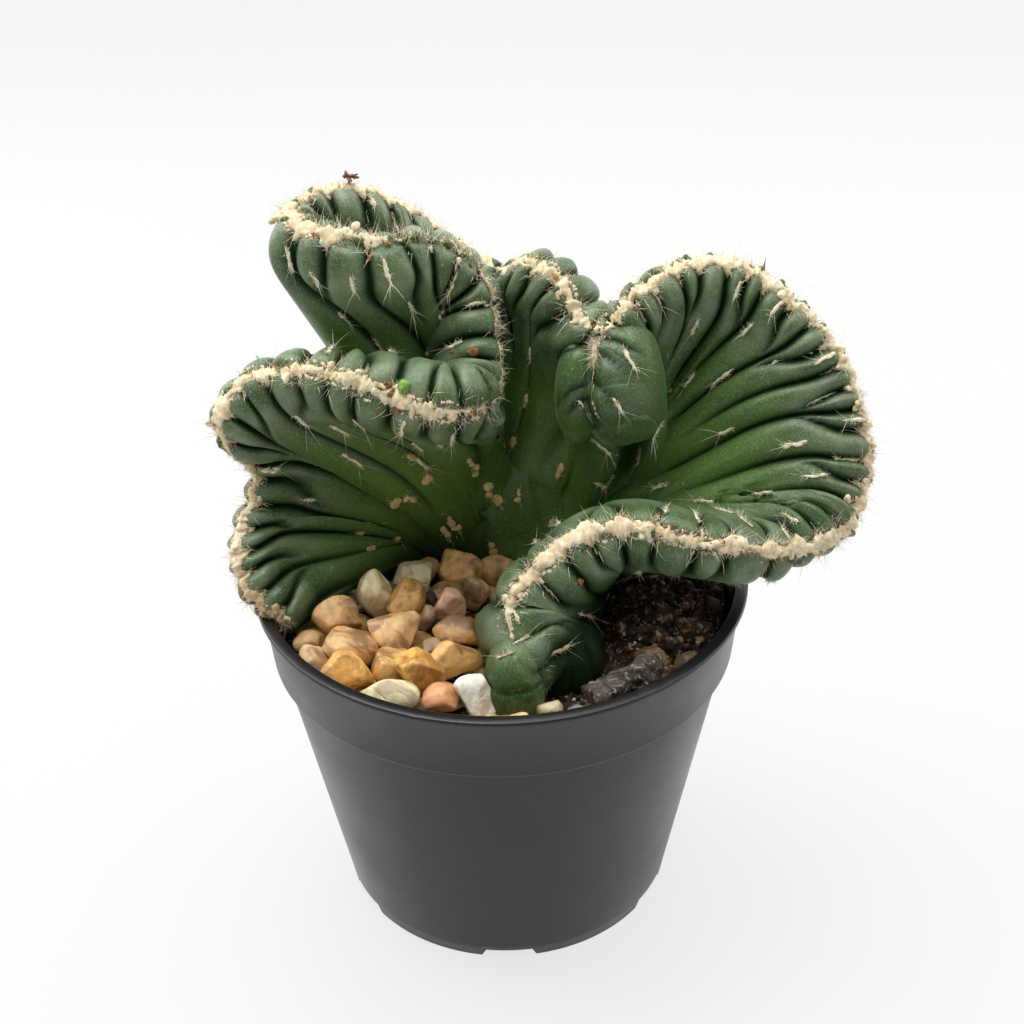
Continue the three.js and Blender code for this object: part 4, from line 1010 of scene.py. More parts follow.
FOLD_LINE = 0.55
LINE_STEPS = 14
LINE_FADE = (0.4, 1)
SOFT_EDGE = 0.95
BED_SHARE = 0.8
FLANK_SHARE = 0.6
FOLD_SHADE = 0.24
SHADE_MIDDLE = (4, -4)
SHADE_RADIUS = (13, 19)
FOLD_BEHIND = (-14, -10)


def fold_furrows(points):
    """Depth in mm, dark share and shade of these furrows at points in mm."""
    apart = points - np.array(FOLD_MIDDLE)
    across = apart @ np.array(camera_right)
    rise = apart @ np.array(camera_up)
    ahead = smooth_step(apart @ np.array(camera_back), *FOLD_BEHIND)
    depth, bed = np.zeros(len(points)), np.zeros(len(points))
    for line in FOLD_FURROWS:
        marks = np.array(line)
        steps = np.linspace(0, len(line) - 1, LINE_STEPS * len(line))
        path = [np.interp(steps, np.arange(len(line)), marks[:, i]) for i in (0, 1)]
        gaps = np.hypot(across[:, None] - path[0], rise[:, None] - path[1])
        fade = ahead * (1 - smooth_step(gaps.argmin(1) / len(steps), *LINE_FADE))
        edge = SOFT_EDGE * np.clip(1 - gaps.min(1) / FOLD_ROUNDING, 0, 1)
        depth = np.maximum(depth, FOLD_CUT * fade * (1 - np.sqrt(1 - edge ** 2)))
        bed = np.maximum(bed, BED_SHARE * fade * np.exp(-(gaps.min(1) / FOLD_LINE) ** 2))
    apart = np.hypot(across - SHADE_MIDDLE[0], rise - SHADE_MIDDLE[1])
    inside = ahead * (1 - smooth_step(apart, *SHADE_RADIUS))
    return depth, bed, FOLD_SHADE * inside + FLANK_SHARE * depth / FOLD_CUT


# The furrows are cut into the skin; their beds and the shade round the fold are painted shade in
# its colour.
for piece in flesh:
    points = positions(piece.data) / MM
    depth, bed, shade = fold_furrows(points)
    move_to(piece.data, (points - depth[:, None] * np.array(camera_back)) * MM)
    marks = piece.data.attributes
    for name, extra in (("furrow_bed", bed), ("furrow", shade)):
        layer = marks.get(name) or marks.new(name, "FLOAT", "POINT")
        share = np.zeros(len(points), np.float32)
        layer.data.foreach_get("value", share)
        layer.data.foreach_set("value", np.maximum(share, extra).astype(np.float32))


# Where things sit on the skin. One search tree over all the flesh gives the place, the
# outward direction and the run of the rib at a pixel of the photograph.
skin_points = []
skin_faces = []
for piece in flesh:
    shift = len(skin_points)
    skin_points.extend(v.co[:] for v in piece.data.vertices)
    skin_faces.extend(tuple(i + shift for i in f.vertices) for f in piece.data.polygons)
skin_tree = BVHTree.FromPolygons(skin_points, skin_faces)


def rib_seat(fan, side, column, row):
    """Place, outward and up-rib directions at one point of a fan's face."""
    place = Vector(fan[side][column, row]) * MM
    up = Vector(fan[side][column, row - 2] - fan[side][column, row + 1]).normalized()
    nearby = Vector(fan[side][min(column + 2, len(fan["u"]) - 1), row]
                    - fan[side][max(column - 2, 0), row])
    out = nearby.cross(up).normalized()
    if out.dot(Vector(fan["normal"][column, row])) * (1 if side == "front" else -1) < 0:
        out.negate()
    return place, out, up


seat_places = []
seat_marks = []
for fan in (main_fan, fold_fan):
    for side in ("front", "back"):
        for column in range(2, len(fan["u"]) - 2, 4):
            for row in range(3, fan["below"].shape[1] - 2, 2):
                seat_places.append(fan[side][column, row] * MM)
                seat_marks.append((fan, side, column, row))
seat_places = np.array(seat_places)


def seat_at_pixel(across, down):
    """The seat on the skin that shows at a pixel, or None where no flesh shows."""
    hit, normal, _, _ = skin_tree.ray_cast(camera_place, pixel_ray(across, down))
    if hit is None:
        return None
    nearest = int(np.argmin(((seat_places - np.array(hit)) ** 2).sum(1)))
    fan, side, column, row = seat_marks[nearest]
    _, _, up = rib_seat(fan, side, column, row)
    if fan is fold_fan:
        up = camera_up * 0.85 - camera_right * 0.5
    if normal.dot(pixel_ray(across, down)) > 0:
        normal = -normal
    up = (up - normal * up.dot(normal)).normalized()
    return hit, normal, up


def crest_at_pixel(across, down):
    """The column of the main crest that shows nearest to a pixel."""
    offset = main_fan["middle"][:, 0] * MM - np.array(camera_place)
    depth = -(offset @ np.array(camera_back))
    x = PHOTO_SIDE / 2 + FOCAL_PIXELS * (offset @ np.array(camera_right)) / depth
    y = PHOTO_SIDE / 2 - FOCAL_PIXELS * (offset @ np.array(camera_up)) / depth
    return int(np.argmin(np.hypot(x - across, y - down)))


# Wool and bristles. Pale felt grows along the whole crest, lumpy and ragged, with short
# tufts running down the furrows and a halo of fine bristles. It grows out of the skin.
FELT_RING = 16
WANDER = 0.6
# stations between which the wool lies to the front, and by how many mm
FORWARD_RUNS = ((33, 42, 0.7), (0, 5, 0.8), (5, 9, 0.8), (17, 21, 1.9))
# stations between which the wool is fuller or thinner, and its share
WOOL_RUNS = (
    (0, 5, 1.15), (5, 12.5, 1.15), (12.5, 19.6, 0.32), (20.4, 23.6, 1.4), (23.6, 28, 1.2),
    (33, 36.5, 1.25), (36.5, 40.5, 1.45), (42.5, 45, 1.2), (46, 49.5, 0.75),
)
FOLD_WOOL = 0.6
FOLD_WOOL_END = 9.0
GRAIN_SPREAD = 1.7
NOTCH_SPREAD = 3.2
GRAIN_SIZE = (0.3, 0.75)
GRAIN_COUNT = 2900
FOLD_GRAINS = 30
STREAK_SHARE = 0.4
LONG_STREAK_SHARE = 0.16
SHORT_STREAK = (1.2, 3.0)
LONG_STREAK = (4.0, 7.0)
FUZZ_LENGTH = (0.8, 2.5)
FUZZ_WIDTH = (0.13, 0.24)
BRISTLE_LENGTH = (2.0, 4.4)
BRISTLE_WIDTH = (0.11, 0.19)
SPRAY_COUNT = (3, 9)
SPRAY_LENGTH = (2.0, 5.6)
SOILED_WOOL = (0.46, 0.28, 0.11)
PALE_WOOL = (0.93, 0.84, 0.62)
STRAW_WOOL = (0.80, 0.60, 0.30)
STAIN_BROWN = (0.40, 0.19, 0.06)
PALE_BRISTLE = (0.97, 0.91, 0.70)
STRAW_BRISTLE = (0.88, 0.77, 0.48)
BRISTLE_BROWN = (0.5, 0.28, 0.1)


def copied(template, count):
    """A mesh of many copies of a small closed shape, made by repeated doubling."""
    shape = bmesh.new()
    shape.from_mesh(template)
    size = len(template.vertices)
    while len(shape.verts) < count * size:
        wanted = count * size - len(shape.verts)
        every = shape.verts[:] + shape.edges[:] + shape.faces[:]
        if wanted < len(shape.verts):
            every = shape.verts[:wanted]
            kept = set(every)
            every += [e for e in shape.edges if all(v in kept for v in e.verts)]
            every += [f for f in shape.faces if all(v in kept for v in f.verts)]
        bmesh.ops.duplicate(shape, geom=every)
        shape.verts.ensure_lookup_table()
    for face in shape.faces:
        face.smooth = True
    mesh = bpy.data.meshes.new("copies")
    shape.to_mesh(mesh)
    shape.free()
    return mesh


def frames_from(directions, roll):
    """A turned frame for each direction, whose third axis is the direction."""
    z = unit(np.asarray(directions, float))
    helper = np.where(np.abs(z[:, 2:3]) < 0.9, [[0, 0, 1]], [[1, 0, 0]])
    x = unit(np.cross(helper, z))
    y = np.cross(z, x)
    turn_x = x * np.cos(roll)[:, None] + y * np.sin(roll)[:, None]
    return np.stack((turn_x, np.cross(z, turn_x), z), axis=1)


def hair_template(cuts):
    """A three-sided pointed hair from z = 0 to z = 1, with cuts where it can bend."""
    shape = bmesh.new()
    bmesh.ops.create_cone(shape, cap_ends=True, cap_tris=True, segments=3, radius1=1,
                          radius2=0, depth=1)
    bmesh.ops.translate(shape, verts=shape.verts[:], vec=(0, 0, 0.5))
    bmesh.ops.remove_doubles(shape, verts=shape.verts[:], dist=1e-6)
    tall = [e for e in shape.edges if abs(e.verts[0].co.z - e.verts[1].co.z) > 0.9]
    if cuts:
        bmesh.ops.subdivide_edges(shape, edges=tall, cuts=cuts)
    return mesh_of(shape)


straight_hair = hair_template(0)
bent_hair = hair_template(2)


def hair_mesh(roots, directions, lengths, widths, bends=None, seed=1, template=None):
    """Many hairs in one mesh, each with its own root, direction, length and bend, in mm."""
    template = template or (straight_hair if bends is None else bent_hair)
    count = len(roots)
    mesh = copied(template, count)
    local = positions(template)
    roll = np.random.default_rng(seed).uniform(0, 2 * math.pi, count)
    axes = frames_from(directions, roll)
    shape = local[None].repeat(count, 0)
    shape[..., :2] *= (np.asarray(widths) / 2)[:, None, None]
    rise = shape[..., 2].copy()
    shape[..., 2] *= np.asarray(lengths)[:, None]
    placed = np.einsum("cvk,ckx->cvx", shape, axes) + np.asarray(roots)[:, None]
    if bends is not None:
        placed += (rise ** 2)[..., None] * np.asarray(bends)[:, None]
    move_to(mesh, placed.reshape(-1, 3) * MM)
    return mesh


def felt_band(fan, seed, trim=4):
    """The felt's lumpy core: a closed tube along the crest, sunk a little in the skin."""
    draw = np.random.default_rng(seed)
    columns = np.arange(trim, len(fan["u"]) - trim)
    mesh, index, turn = grid_to_roll(len(columns), FELT_RING)
    angle = turn * 2 * math.pi / FELT_RING
    u = fan["u"][columns]
    notch = np.sqrt(fan["relief"][columns, 0])
    ragged = 0.5 + 0.9 * lumps(fan["middle"][columns, 0], 2.6, seed + 5)
    ragged = np.clip(ragged + 0.3 * draw.normal(0, 1, len(u)), 0, 1.4)
    ends = np.clip(np.minimum(u - u[0], u[-1] - u) / 3, 0.1, 1)
    tufted = draw.uniform(0.2, 1.5, len(fan["places"]))
    tufted = tufted[np.abs(u[:, None] - fan["places"]).argmin(1)]
    full = wool_share(fan, columns) * ends
    wide = (0.5 + 0.75 * ragged + 1.7 * notch * tufted) * full
    tall = (0.45 + 0.45 * ragged + 0.7 * notch * tufted) * full
    lean, side = fan["lean"][columns], fan["normal"][columns, 0]
    centre = wool_line(fan, columns) + lean * 0.35
    points = (centre[index] + side[index] * (wide[index] * np.cos(angle))[:, None]
              + lean[index] * (tall[index] * np.sin(angle))[:, None])
    rough = 0.75 * lumps(points, 1.7, seed) + 0.4 * lumps(points, 0.7, seed + 1)
    points += unit(points - centre[index]) * rough[:, None] * full[index][:, None]
    move_to(mesh, points * MM)
    shape = bmesh.new()
    shape.from_mesh(mesh)
    bmesh.ops.remove_doubles(shape, verts=shape.verts[:], dist=1e-7)
    bmesh.ops.holes_fill(shape, edges=[e for e in shape.edges if e.is_boundary], sides=0)
    bpy.data.meshes.remove(mesh)
    return mesh_of(shape)


def wool_share(fan, column):
    """How full the wool is along a crest: thin on sheltered runs, thick on open ones."""
    u = fan["u"][column]
    if fan is not main_fan:
        return FOLD_WOOL * (1 - 0.97 * smooth_step(u, FOLD_WOOL_END - 4, FOLD_WOOL_END))
    share = 1 + 0 * u
    for low, high, factor in WOOL_RUNS:
        start, end = at_stations(knots, (low, high))
        run = smooth_step(u, start - 2, start + 3) * (1 - smooth_step(u, end - 3, end + 2))
        share = share * (1 + (factor - 1) * run)
    return share


def crest_shift(fan, column):
    """How far the wool lies to the front of the crest's middle line."""
    u = fan["u"][column]
    shift = WANDER * np.sin(u / 6.7 + 0.7)
    if fan is main_fan:
        for low, high, forward in FORWARD_RUNS:
            shift = shift + forward * smooth_step(u, knots[low], knots[low] + 6) * (
                1 - smooth_step(u, knots[high] - 6, knots[high]))
    return shift


def wool_line(fan, column):
    """The line that the wool grows along: the crest, shifted and laid back on the skin."""
    shift = crest_shift(fan, column)
    thick = fan["thick"][column, 0]
    drop = thick - np.sqrt(np.maximum(0, thick ** 2 - shift ** 2))
    side, lean = fan["normal"][column, 0], fan["lean"][column]
    return (fan["middle"][column, 0] + side * np.asarray(shift)[..., None]
            - lean * np.asarray(drop)[..., None])


def crest_hairs(fan, count, seed, long_hairs):
    """Roots, directions, lengths and widths of hairs over a crest, with bends if long."""
    draw = np.random.default_rng(seed)
    last = len(fan["u"]) - 4 if fan is main_fan else int(FOLD_WOOL_END / COLUMN_STEP)
    column = draw.integers(4, last, count)
    angle = draw.uniform(-0.15, 1.15, count) * math.pi
    lean, side = fan["lean"][column], fan["normal"][column, 0]
    along = fan["along"][column]
    notch = np.sqrt(fan["relief"][column, 0])
    full = wool_share(fan, column)
    root = (wool_line(fan, column) + lean * ((0.3 + 0.6 * notch) * np.sin(angle) * full)[:, None]
            + side * ((0.9 + 1.9 * notch) * np.cos(angle) * full)[:, None])
    out = (lean * np.sin(angle)[:, None] + side * np.cos(angle)[:, None]
           + along * draw.normal(0, 0.75, count)[:, None] + draw.normal(0, 0.3, (count, 3)))
    if not long_hairs:
        length = draw.uniform(*FUZZ_LENGTH, count)
        return root, unit(out), length, draw.uniform(*FUZZ_WIDTH, count)
    length = draw.uniform(*BRISTLE_LENGTH, count) * draw.choice((1, 1, 1, 1.35), count)
    bend = draw.normal(0, 0.25, (count, 3)) * length[:, None]
    return root, unit(out), length, draw.uniform(*BRISTLE_WIDTH, count), bend


def notch_bristles(fan, seed):
    """A spray of bristles at each furrow: roots, directions, lengths, widths and bends."""
    draw = np.random.default_rng(seed)
    hairs = []
    for place in fan["places"][1:-1]:
        for side, way in (("front", 1), ("back", -1)):
            for _ in range(draw.integers(*SPRAY_COUNT)):
                run = place + draw.normal(0, 0.8)
                column = column_at(fan, run, margin=5)
                root = rib_seat(fan, side, column, int(draw.integers(2, 6)))[0] / MM
                out = (fan["normal"][column, 0] * way * draw.uniform(0.3, 1.3)
                       + fan["lean"][column] * draw.uniform(-0.3, 0.9)
                       + fan["along"][column] * draw.normal(0, 0.6))
                length = draw.uniform(*SPRAY_LENGTH)
                hairs.append((root[:], out, length, draw.uniform(0.12, 0.2),
                              draw.normal(0, 0.12, 3) * length))
    return [np.array([h[k] for h in hairs]) for k in range(5)]


def wool_finish(name, pale, straw, brown, brown_share):
    """Matted fibres: pale and straw strands, stained brown in patches."""
    made, tree, shader = new_material(name, roughness=0.85)
    point = object_point(tree)
    tint = colour_ramp(tree, noise_value(tree, point, 700, 3, 0.6), [
        (0.34, straw),
        (0.62, pale),
    ])
    height = add_node(tree, "ShaderNodeSeparateXYZ", {0: point}).outputs["Z"]
    near_soil = product(tree, value_ramp(tree, height, 0.103, 0.088),
                       value_ramp(tree, noise_value(tree, point, 260, 3), 0.3, 0.6, 0.25, 0.9))
    tint = mixed(tree, near_soil, tint, (*SOILED_WOOL, 1))
    stain = value_ramp(tree, noise_value(tree, point, 210, 3, 0.6),
                       0.80 - brown_share, 0.86 - brown_share)
    colour = mixed(tree, product(tree, stain, 0.85), tint, (*brown, 1))
    tree.links.new(colour, shader.inputs["Base Color"])
    shader.inputs["Sheen Weight"].default_value = 0.25
    shader.inputs["Subsurface Weight"].default_value = 0.15
    shader.inputs["Subsurface Radius"].default_value = (0.001, 0.0006, 0.0003)
    add_bump(tree, shader, noise_value(tree, point, 3000, 3, 0.7), 0.0003)
    return made


def wool_piece(name, mesh, finish, *replaced):
    """A piece of the wool or its hairs."""
    return finish_piece(name, mesh, finish, replaced)


crest_wool = wool_finish("crest_wool_fibre", PALE_WOOL, STRAW_WOOL, STAIN_BROWN, 0.18)
bristle = wool_finish("translucent_bristle", PALE_BRISTLE, STRAW_BRISTLE, BRISTLE_BROWN, 0.04)
wool_piece("crest_felt", felt_band(main_fan, 51), crest_wool, "crest_wool")
wool_piece("fold_felt", felt_band(fold_fan, 52), crest_wool, "fold_wool")
for name, fan, count, seed, long_hairs in (
    # name, crest, hairs, seed, long
    ("crest_fuzz", main_fan, 11000, 61, False),
    ("crest_bristles", main_fan, 1900, 63, True),
    ("fold_fuzz", fold_fan, 300, 65, False),
    ("fold_bristles", fold_fan, 70, 67, True),
):
    hairs = crest_hairs(fan, count, seed, long_hairs)
    wool_piece(name, hair_mesh(*hairs, seed=seed + 1), bristle if long_hairs else crest_wool)
wool_piece("notch_bristles", hair_mesh(*notch_bristles(main_fan, 69), seed=70), bristle)


def ball_mesh(cuts, radius=0.5):
    shape = bmesh.new()
    bmesh.ops.create_icosphere(shape, subdivisions=cuts, radius=radius)
    return mesh_of(shape)


spindle = ball_mesh(2)
grain_ball = ball_mesh(1)


def set_on_skin(template, rows, sink=0.15):
    """Copies of a template set on the skin; each row: place, out, up, size (x, y, z) mm."""
    mesh = copied(template, len(rows))
    local = positions(template)
    placed = []
    for place, out, up, size in rows:
        side = out.cross(up).normalized()
        axes = np.array([side[:], out[:], up[:]])
        shape = local * np.array(size)
        centre = np.array(place) / MM + np.array(out) * size[1] * (0.5 - sink) * 0.5
        placed.append(shape @ axes + centre)
    move_to(mesh, np.concatenate(placed) * MM)
    return mesh


def roughened(mesh, size, depth, seed):
    """Moves a mesh's points along their normals by smooth noise, in millimetres."""
    points = positions(mesh)
    flat = np.empty(len(points) * 3)
    mesh.vertex_normals.foreach_get("vector", flat)
    rise = lumps(points / MM, size, seed) * depth * MM
    move_to(mesh, points + flat.reshape(-1, 3) * rise[:, None])
    return mesh


def felt_lumps(fan, seed):
    """Uneven lumps of felt along the crest, larger where a furrow meets it."""
    draw = np.random.default_rng(seed)
    rows = []
    run = 3.0
    while run < fan["u"][-1] - 3:
        column = int(np.searchsorted(fan["u"], run))
        notch = fan["relief"][column, 0]
        full = float(wool_share(fan, column))
        wide = (draw.uniform(0.9, 2.4) + 1.7 * notch) * draw.choice((0.6, 1, 1.3)) * full
        long = draw.uniform(0.9, 2.4)
        side = fan["normal"][column, 0] * draw.normal(0, 1.0) * full
        place = wool_line(fan, column) + side + fan["lean"][column] * draw.uniform(-0.3, 0.4)
        rows.append((Vector(place) * MM, Vector(fan["lean"][column]),
                     Vector(fan["along"][column]),
                     (wide, draw.uniform(0.9, 1.8) * min(1, full), long)))
        run += long * draw.uniform(0.5, 1.5)
    return rows


def felt_grains(fan, count, seed):
    """Small knots of felt on the skin, spread wider where a furrow meets the crest."""
    draw = np.random.default_rng(seed)
    tufted = draw.uniform(0.1, 1.0, len(fan["places"])) ** 1.3
    rows = []
    for column in draw.integers(5, len(fan["u"]) - 5, count):
        notch = fan["relief"][column, 0]
        nearest = np.abs(fan["u"][column] - fan["places"]).argmin()
        reach = GRAIN_SPREAD + NOTCH_SPREAD * notch ** 1.5 * tufted[nearest]
        full = float(wool_share(fan, column))
        if draw.random() > full:
            continue
        across = draw.normal(0, 0.5) * reach * full + crest_shift(fan, column)
        side = "front" if across > 0 else "back"
        turn = math.asin(min(1.0, abs(across) / fan["thick"][column, 0]))
        row = max(2, int(turn / (math.pi / 2) * (EDGE_ROWS - 1)))
        size = draw.uniform(*GRAIN_SIZE)
        rows.append((*rib_seat(fan, side, column, row),
                     (size, size * 0.8, size * draw.uniform(1.0, 1.8))))
    return rows


def furrow_streaks(fan, seed):
    """Tapering tufts of felt that run from the crest down into some of the furrows."""
    draw = np.random.default_rng(seed)
    rows = []
    for place in fan["places"][1:-1]:
        for side in ("front", "back"):
            if draw.random() > STREAK_SHARE:
                continue
            total = draw.uniform(*SHORT_STREAK)
            if draw.random() < LONG_STREAK_SHARE:
                total = draw.uniform(*LONG_STREAK)
            wide = draw.uniform(0.9, 1.6) * (0.65 if total > LONG_STREAK[0] else 1)
            steps = max(2, round(total / 0.9))
            start = int(np.searchsorted(fan["u"], place))
            for step in range(steps):
                share = step / steps
                first = max(3, start - 9)
                row = int(np.searchsorted(fan["below"][start], max(0.6, share * total)))
                column = first + int(np.argmax(fan["bed"][first:start + 9, row]))
                column = min(column, len(fan["u"]) - 4)
                spot, out, up = rib_seat(fan, side, column, max(3, row))
                width = wide * (1 - 0.7 * share) * draw.uniform(0.8, 1.2)
                rows.append((spot, out, up, (width, width * 0.7, draw.uniform(1.5, 2.3))))
                start = column
    return rows


def combed_fuzz(rows, per_row, seed, low, high):
    """Short hairs that stand up from small lumps and lean along them."""
    draw = np.random.default_rng(seed)
    hairs = []
    for place, out, up, (wide, tall, long) in rows:
        side = out.cross(up).normalized()
        for _ in range(per_row):
            step = draw.uniform(-0.5, 0.5)
            across = draw.uniform(-0.5, 0.5)
            root = place / MM + up * step * long + side * across * wide + out * tall * 0.2
            way = out * draw.uniform(0.2, 1) + up * draw.normal(0, 0.8) + side * (across * 2)
            hairs.append((root[:], way[:], draw.uniform(low, high), draw.uniform(0.11, 0.2)))
    return [np.array([h[k] for h in hairs]) for k in range(4)]


streaks = furrow_streaks(main_fan, 53)
streak_mesh = roughened(set_on_skin(spindle, streaks, 0.3), 0.7, 0.45, 6)
wool_piece("furrow_wool", streak_mesh, crest_wool)
fuzz = combed_fuzz(streaks, 14, 55, 0.4, 1.2)
wool_piece("furrow_fuzz", hair_mesh(*fuzz, seed=56), crest_wool)
grains = felt_grains(main_fan, GRAIN_COUNT, 73) + felt_grains(fold_fan, FOLD_GRAINS, 74)
grain_mesh = roughened(set_on_skin(grain_ball, grains, 0.2), 0.5, 0.3, 13)
wool_piece("felt_grains", grain_mesh, crest_wool)
fuzz = combed_fuzz(grains, 3, 75, 0.5, 1.7)
wool_piece("grain_fuzz", hair_mesh(*fuzz, seed=76), crest_wool)
lumpy = set_on_skin(spindle, felt_lumps(main_fan, 57) + felt_lumps(fold_fan, 58), 0.3)
lumpy = roughened(roughened(lumpy, 1.1, 0.5, 10), 0.45, 0.2, 11)
wool_piece("felt_lumps", lumpy, crest_wool)


def run_hairs(run, count, seed, lengths, spread, curl, width, tilt):
    """Longer hairs on one run of the main crest, given by its station numbers."""
    draw = np.random.default_rng(seed)
    low, high = at_stations(knots, run)
    column = np.searchsorted(main_fan["u"], draw.uniform(low, high, count))
    side = main_fan["normal"][column, 0]
    root = main_fan["middle"][column, 0] + side * draw.normal(0, 0.7, (count, 1))
    way = main_fan["lean"][column] + draw.normal(0, spread, (count, 3)) + tilt
    length = draw.uniform(*lengths, count)
    bend = draw.normal(0, curl, (count, 3)) * length[:, None]
    return root, unit(way), length, draw.uniform(*width, count), bend


for name, run, count, seed, lengths, spread, curl, width, tilt, cuts in (
    # stations, count, seed, lengths, spread and curl, widths, tilt, cuts along a hair
    ("ridge_fringe", (17, 21.4), 95, 85, (3.5, 8.0), 0.55, 0.05, (0.13, 0.2), (0, 0.9, 0.4), 2),
    ("crest_halo", (21, 27.5), 420, 89, (1.6, 4.0), 0.5, 0.1, (0.07, 0.12), (0, 0, 0), 2),
    ("wavy_hairs", (35, 39), 18, 87, (5.0, 10.0), 0.6, 0.35, (0.10, 0.14), (0, 0, 0), 6),
):
    hairs = run_hairs(run, count, seed, lengths, spread, curl, width, tilt)
    hairs = hair_mesh(*hairs, seed=seed + 1, template=hair_template(cuts))
    wool_piece(name, hairs, bristle)


# Young growth and scars on the crest. Small green knobs push up through the wool, and
# orange-brown scabs of dead tissue are caught in it.
KNOB_RUNS = (
    # stations, count, and the face that they stand on: back -1, front 1
    (22, 27, 48, -1), (18, 21, 8, 1), (33, 40, 52, -1), (40, 45, 14, -1), (5, 9, 14, -1),
    (28, 31, 8, 1),
)
KNOB_SIZE = (1.2, 2.3)
SCAB_COUNT = 130
SCAB_SIZE = (0.5, 1.3)
SCAB_PIXELS = (
    # across, down, size in mm
    (392, 394, 2.6), (399, 409, 2.0), (388, 385, 1.6), (370, 258, 1.5), (473, 352, 2.2),
    (472, 414, 1.8), (452, 352, 1.2), (580, 582, 2.0), (303, 222, 1.6), (594, 326, 1.6),
)


def mottled_finish(name, roughness, mottle, stops, grain, depth):
    """A finish with one noise for its colour and a finer one for its bump."""
    made, tree, shader = new_material(name, roughness)
    point = object_point(tree)
    colour = colour_ramp(tree, noise_value(tree, point, *mottle), stops)
    tree.links.new(colour, shader.inputs["Base Color"])
    add_bump(tree, shader, noise_value(tree, point, *grain), depth)
    return made


def crest_seats(fan, runs, draw):
    """Places on the crest for small lumps, each with its outward and its along direction."""
    rows = []
    for low, high, count, side in runs:
        for run in draw.uniform(low, high, count):
            column = column_at(fan, run)
            across = fan["normal"][column, 0] * (side if side else draw.choice((-1, 1)))
            reach = draw.uniform(0.5, 1.7) if side else draw.uniform(0, 1.3)
            place = fan["middle"][column, 0] + across * reach + fan["lean"][column] * 0.1
            ways = (Vector(fan[name][column]) for name in ("lean", "along"))
            rows.append((Vector(place) * MM, *ways))
    return rows


draw = np.random.default_rng(81)
knob_rows = []
knob_runs = [(knots[first], knots[last], count, side) for first, last, count, side in KNOB_RUNS]
for place, out, up in crest_seats(main_fan, knob_runs, draw):
    size = draw.uniform(*KNOB_SIZE)
    knob_rows.append((place, out, up, (size, size * 1.1, size * 0.9)))
knob_finish = mottled_finish("young_tubercle", 0.55, (800, 3, 0.6), [
    (0.30, (0.030, 0.065, 0.015)),
    (0.58, (0.085, 0.145, 0.035)),
    (0.75, (0.30, 0.28, 0.12)),
], (1800, 3, 0.7), 0.0004)
knob_mesh = roughened(set_on_skin(spindle, knob_rows, 0.3), 0.8, 0.4, 12)
finish_piece("green_knobs", knob_mesh, knob_finish)

scab_finish = mottled_finish("brown_scab", 0.8, (900, 3, 0.6), [
    (0.30, (0.07, 0.022, 0.008)),
    (0.50, (0.26, 0.095, 0.025)),
    (0.72, (0.50, 0.25, 0.09)),
], (2200, 4, 0.7), 0.0004)
draw = np.random.default_rng(82)
scab_rows = []
for place, out, up in crest_seats(main_fan, [(4, knots[-1] - 3, SCAB_COUNT, 0)], draw):
    size = draw.uniform(*SCAB_SIZE)
    shape = (size * draw.uniform(0.5, 1.1), size * 0.6, size)
    scab_rows.append((place + out * (0.5 * MM), out, up, shape))
for across, down, size in SCAB_PIXELS:
    seat = seat_at_pixel(across, down)
    if seat is not None:
        scab_rows.append((*seat, (size, size * 0.5, size * 1.2)))
scab_mesh = roughened(set_on_skin(spindle, scab_rows, 0.3), 0.6, 0.5, 7)
wool_piece("brown_scabs", scab_mesh, scab_finish)


# Bud, dried flower and old spine. One fresh green bud swells by a scab on the middle left
# lobe; a withered flower clings to the highest crest, and one brown spine to the right.
BUD_PIXEL = (405, 387)
BUD_SIZE = (3.0, 2.7, 3.2)
FLOWER_PIXEL = (352, 184)
FLOWER_RISE = 3.2
FLOWER_LOBES = 9
BROWN_SPINE_PIXEL = (764, 274)
SPINE_LENGTHS = (5.0, 2.6)
SPINE_WIDTHS = (1.0, 0.7)

bud_finish = mottled_finish("fresh_bud", 0.4, (600, 3, 0.6), [
    (0.35, (0.07, 0.19, 0.018)),
    (0.70, (0.24, 0.42, 0.055)),
], (1500, 3, 0.6), 0.0002)
bud_seat = seat_at_pixel(*BUD_PIXEL)
bud_mesh = roughened(set_on_skin(ball_mesh(4), [(*bud_seat, BUD_SIZE)]), 1.1, 0.22, 8)
finish_piece("green_bud", bud_mesh, bud_finish)

withered = mottled_finish("withered_flower", 0.8, (1000, 3, 0.6), [
    (0.30, (0.10, 0.035, 0.022)),
    (0.55, (0.27, 0.12, 0.085)),
    (0.75, (0.44, 0.27, 0.20)),
], (2500, 3, 0.7), 0.0003)
rng = np.random.default_rng(91)
column = crest_at_pixel(*FLOWER_PIXEL)
crest_point = main_fan["middle"][column, 0]
flower_rows = [(Vector(crest_point + [0, 0, FLOWER_RISE / 2]) * MM, Vector((1, 0, 0)),
                Vector((0.1, 0, 1)).normalized(), (0.5, 0.5, FLOWER_RISE + 1))]
for number in range(FLOWER_LOBES):
    angle = number * 2.4
    tilt = Vector((math.cos(angle), 0.7 * math.sin(angle), rng.uniform(-0.5, 0.9))).normalized()
    middle = Vector(crest_point) + Vector((0, 0, FLOWER_RISE)) + tilt * rng.uniform(0.4, 1.3)
    flower_rows.append((middle * MM, tilt.orthogonal().normalized(), tilt,
                        (rng.uniform(0.8, 1.5), rng.uniform(0.3, 0.7), rng.uniform(1.4, 2.6))))
flower_mesh = roughened(set_on_skin(spindle, flower_rows, 0.5), 0.6, 0.55, 9)
wool_piece("dried_flower", flower_mesh, withered)

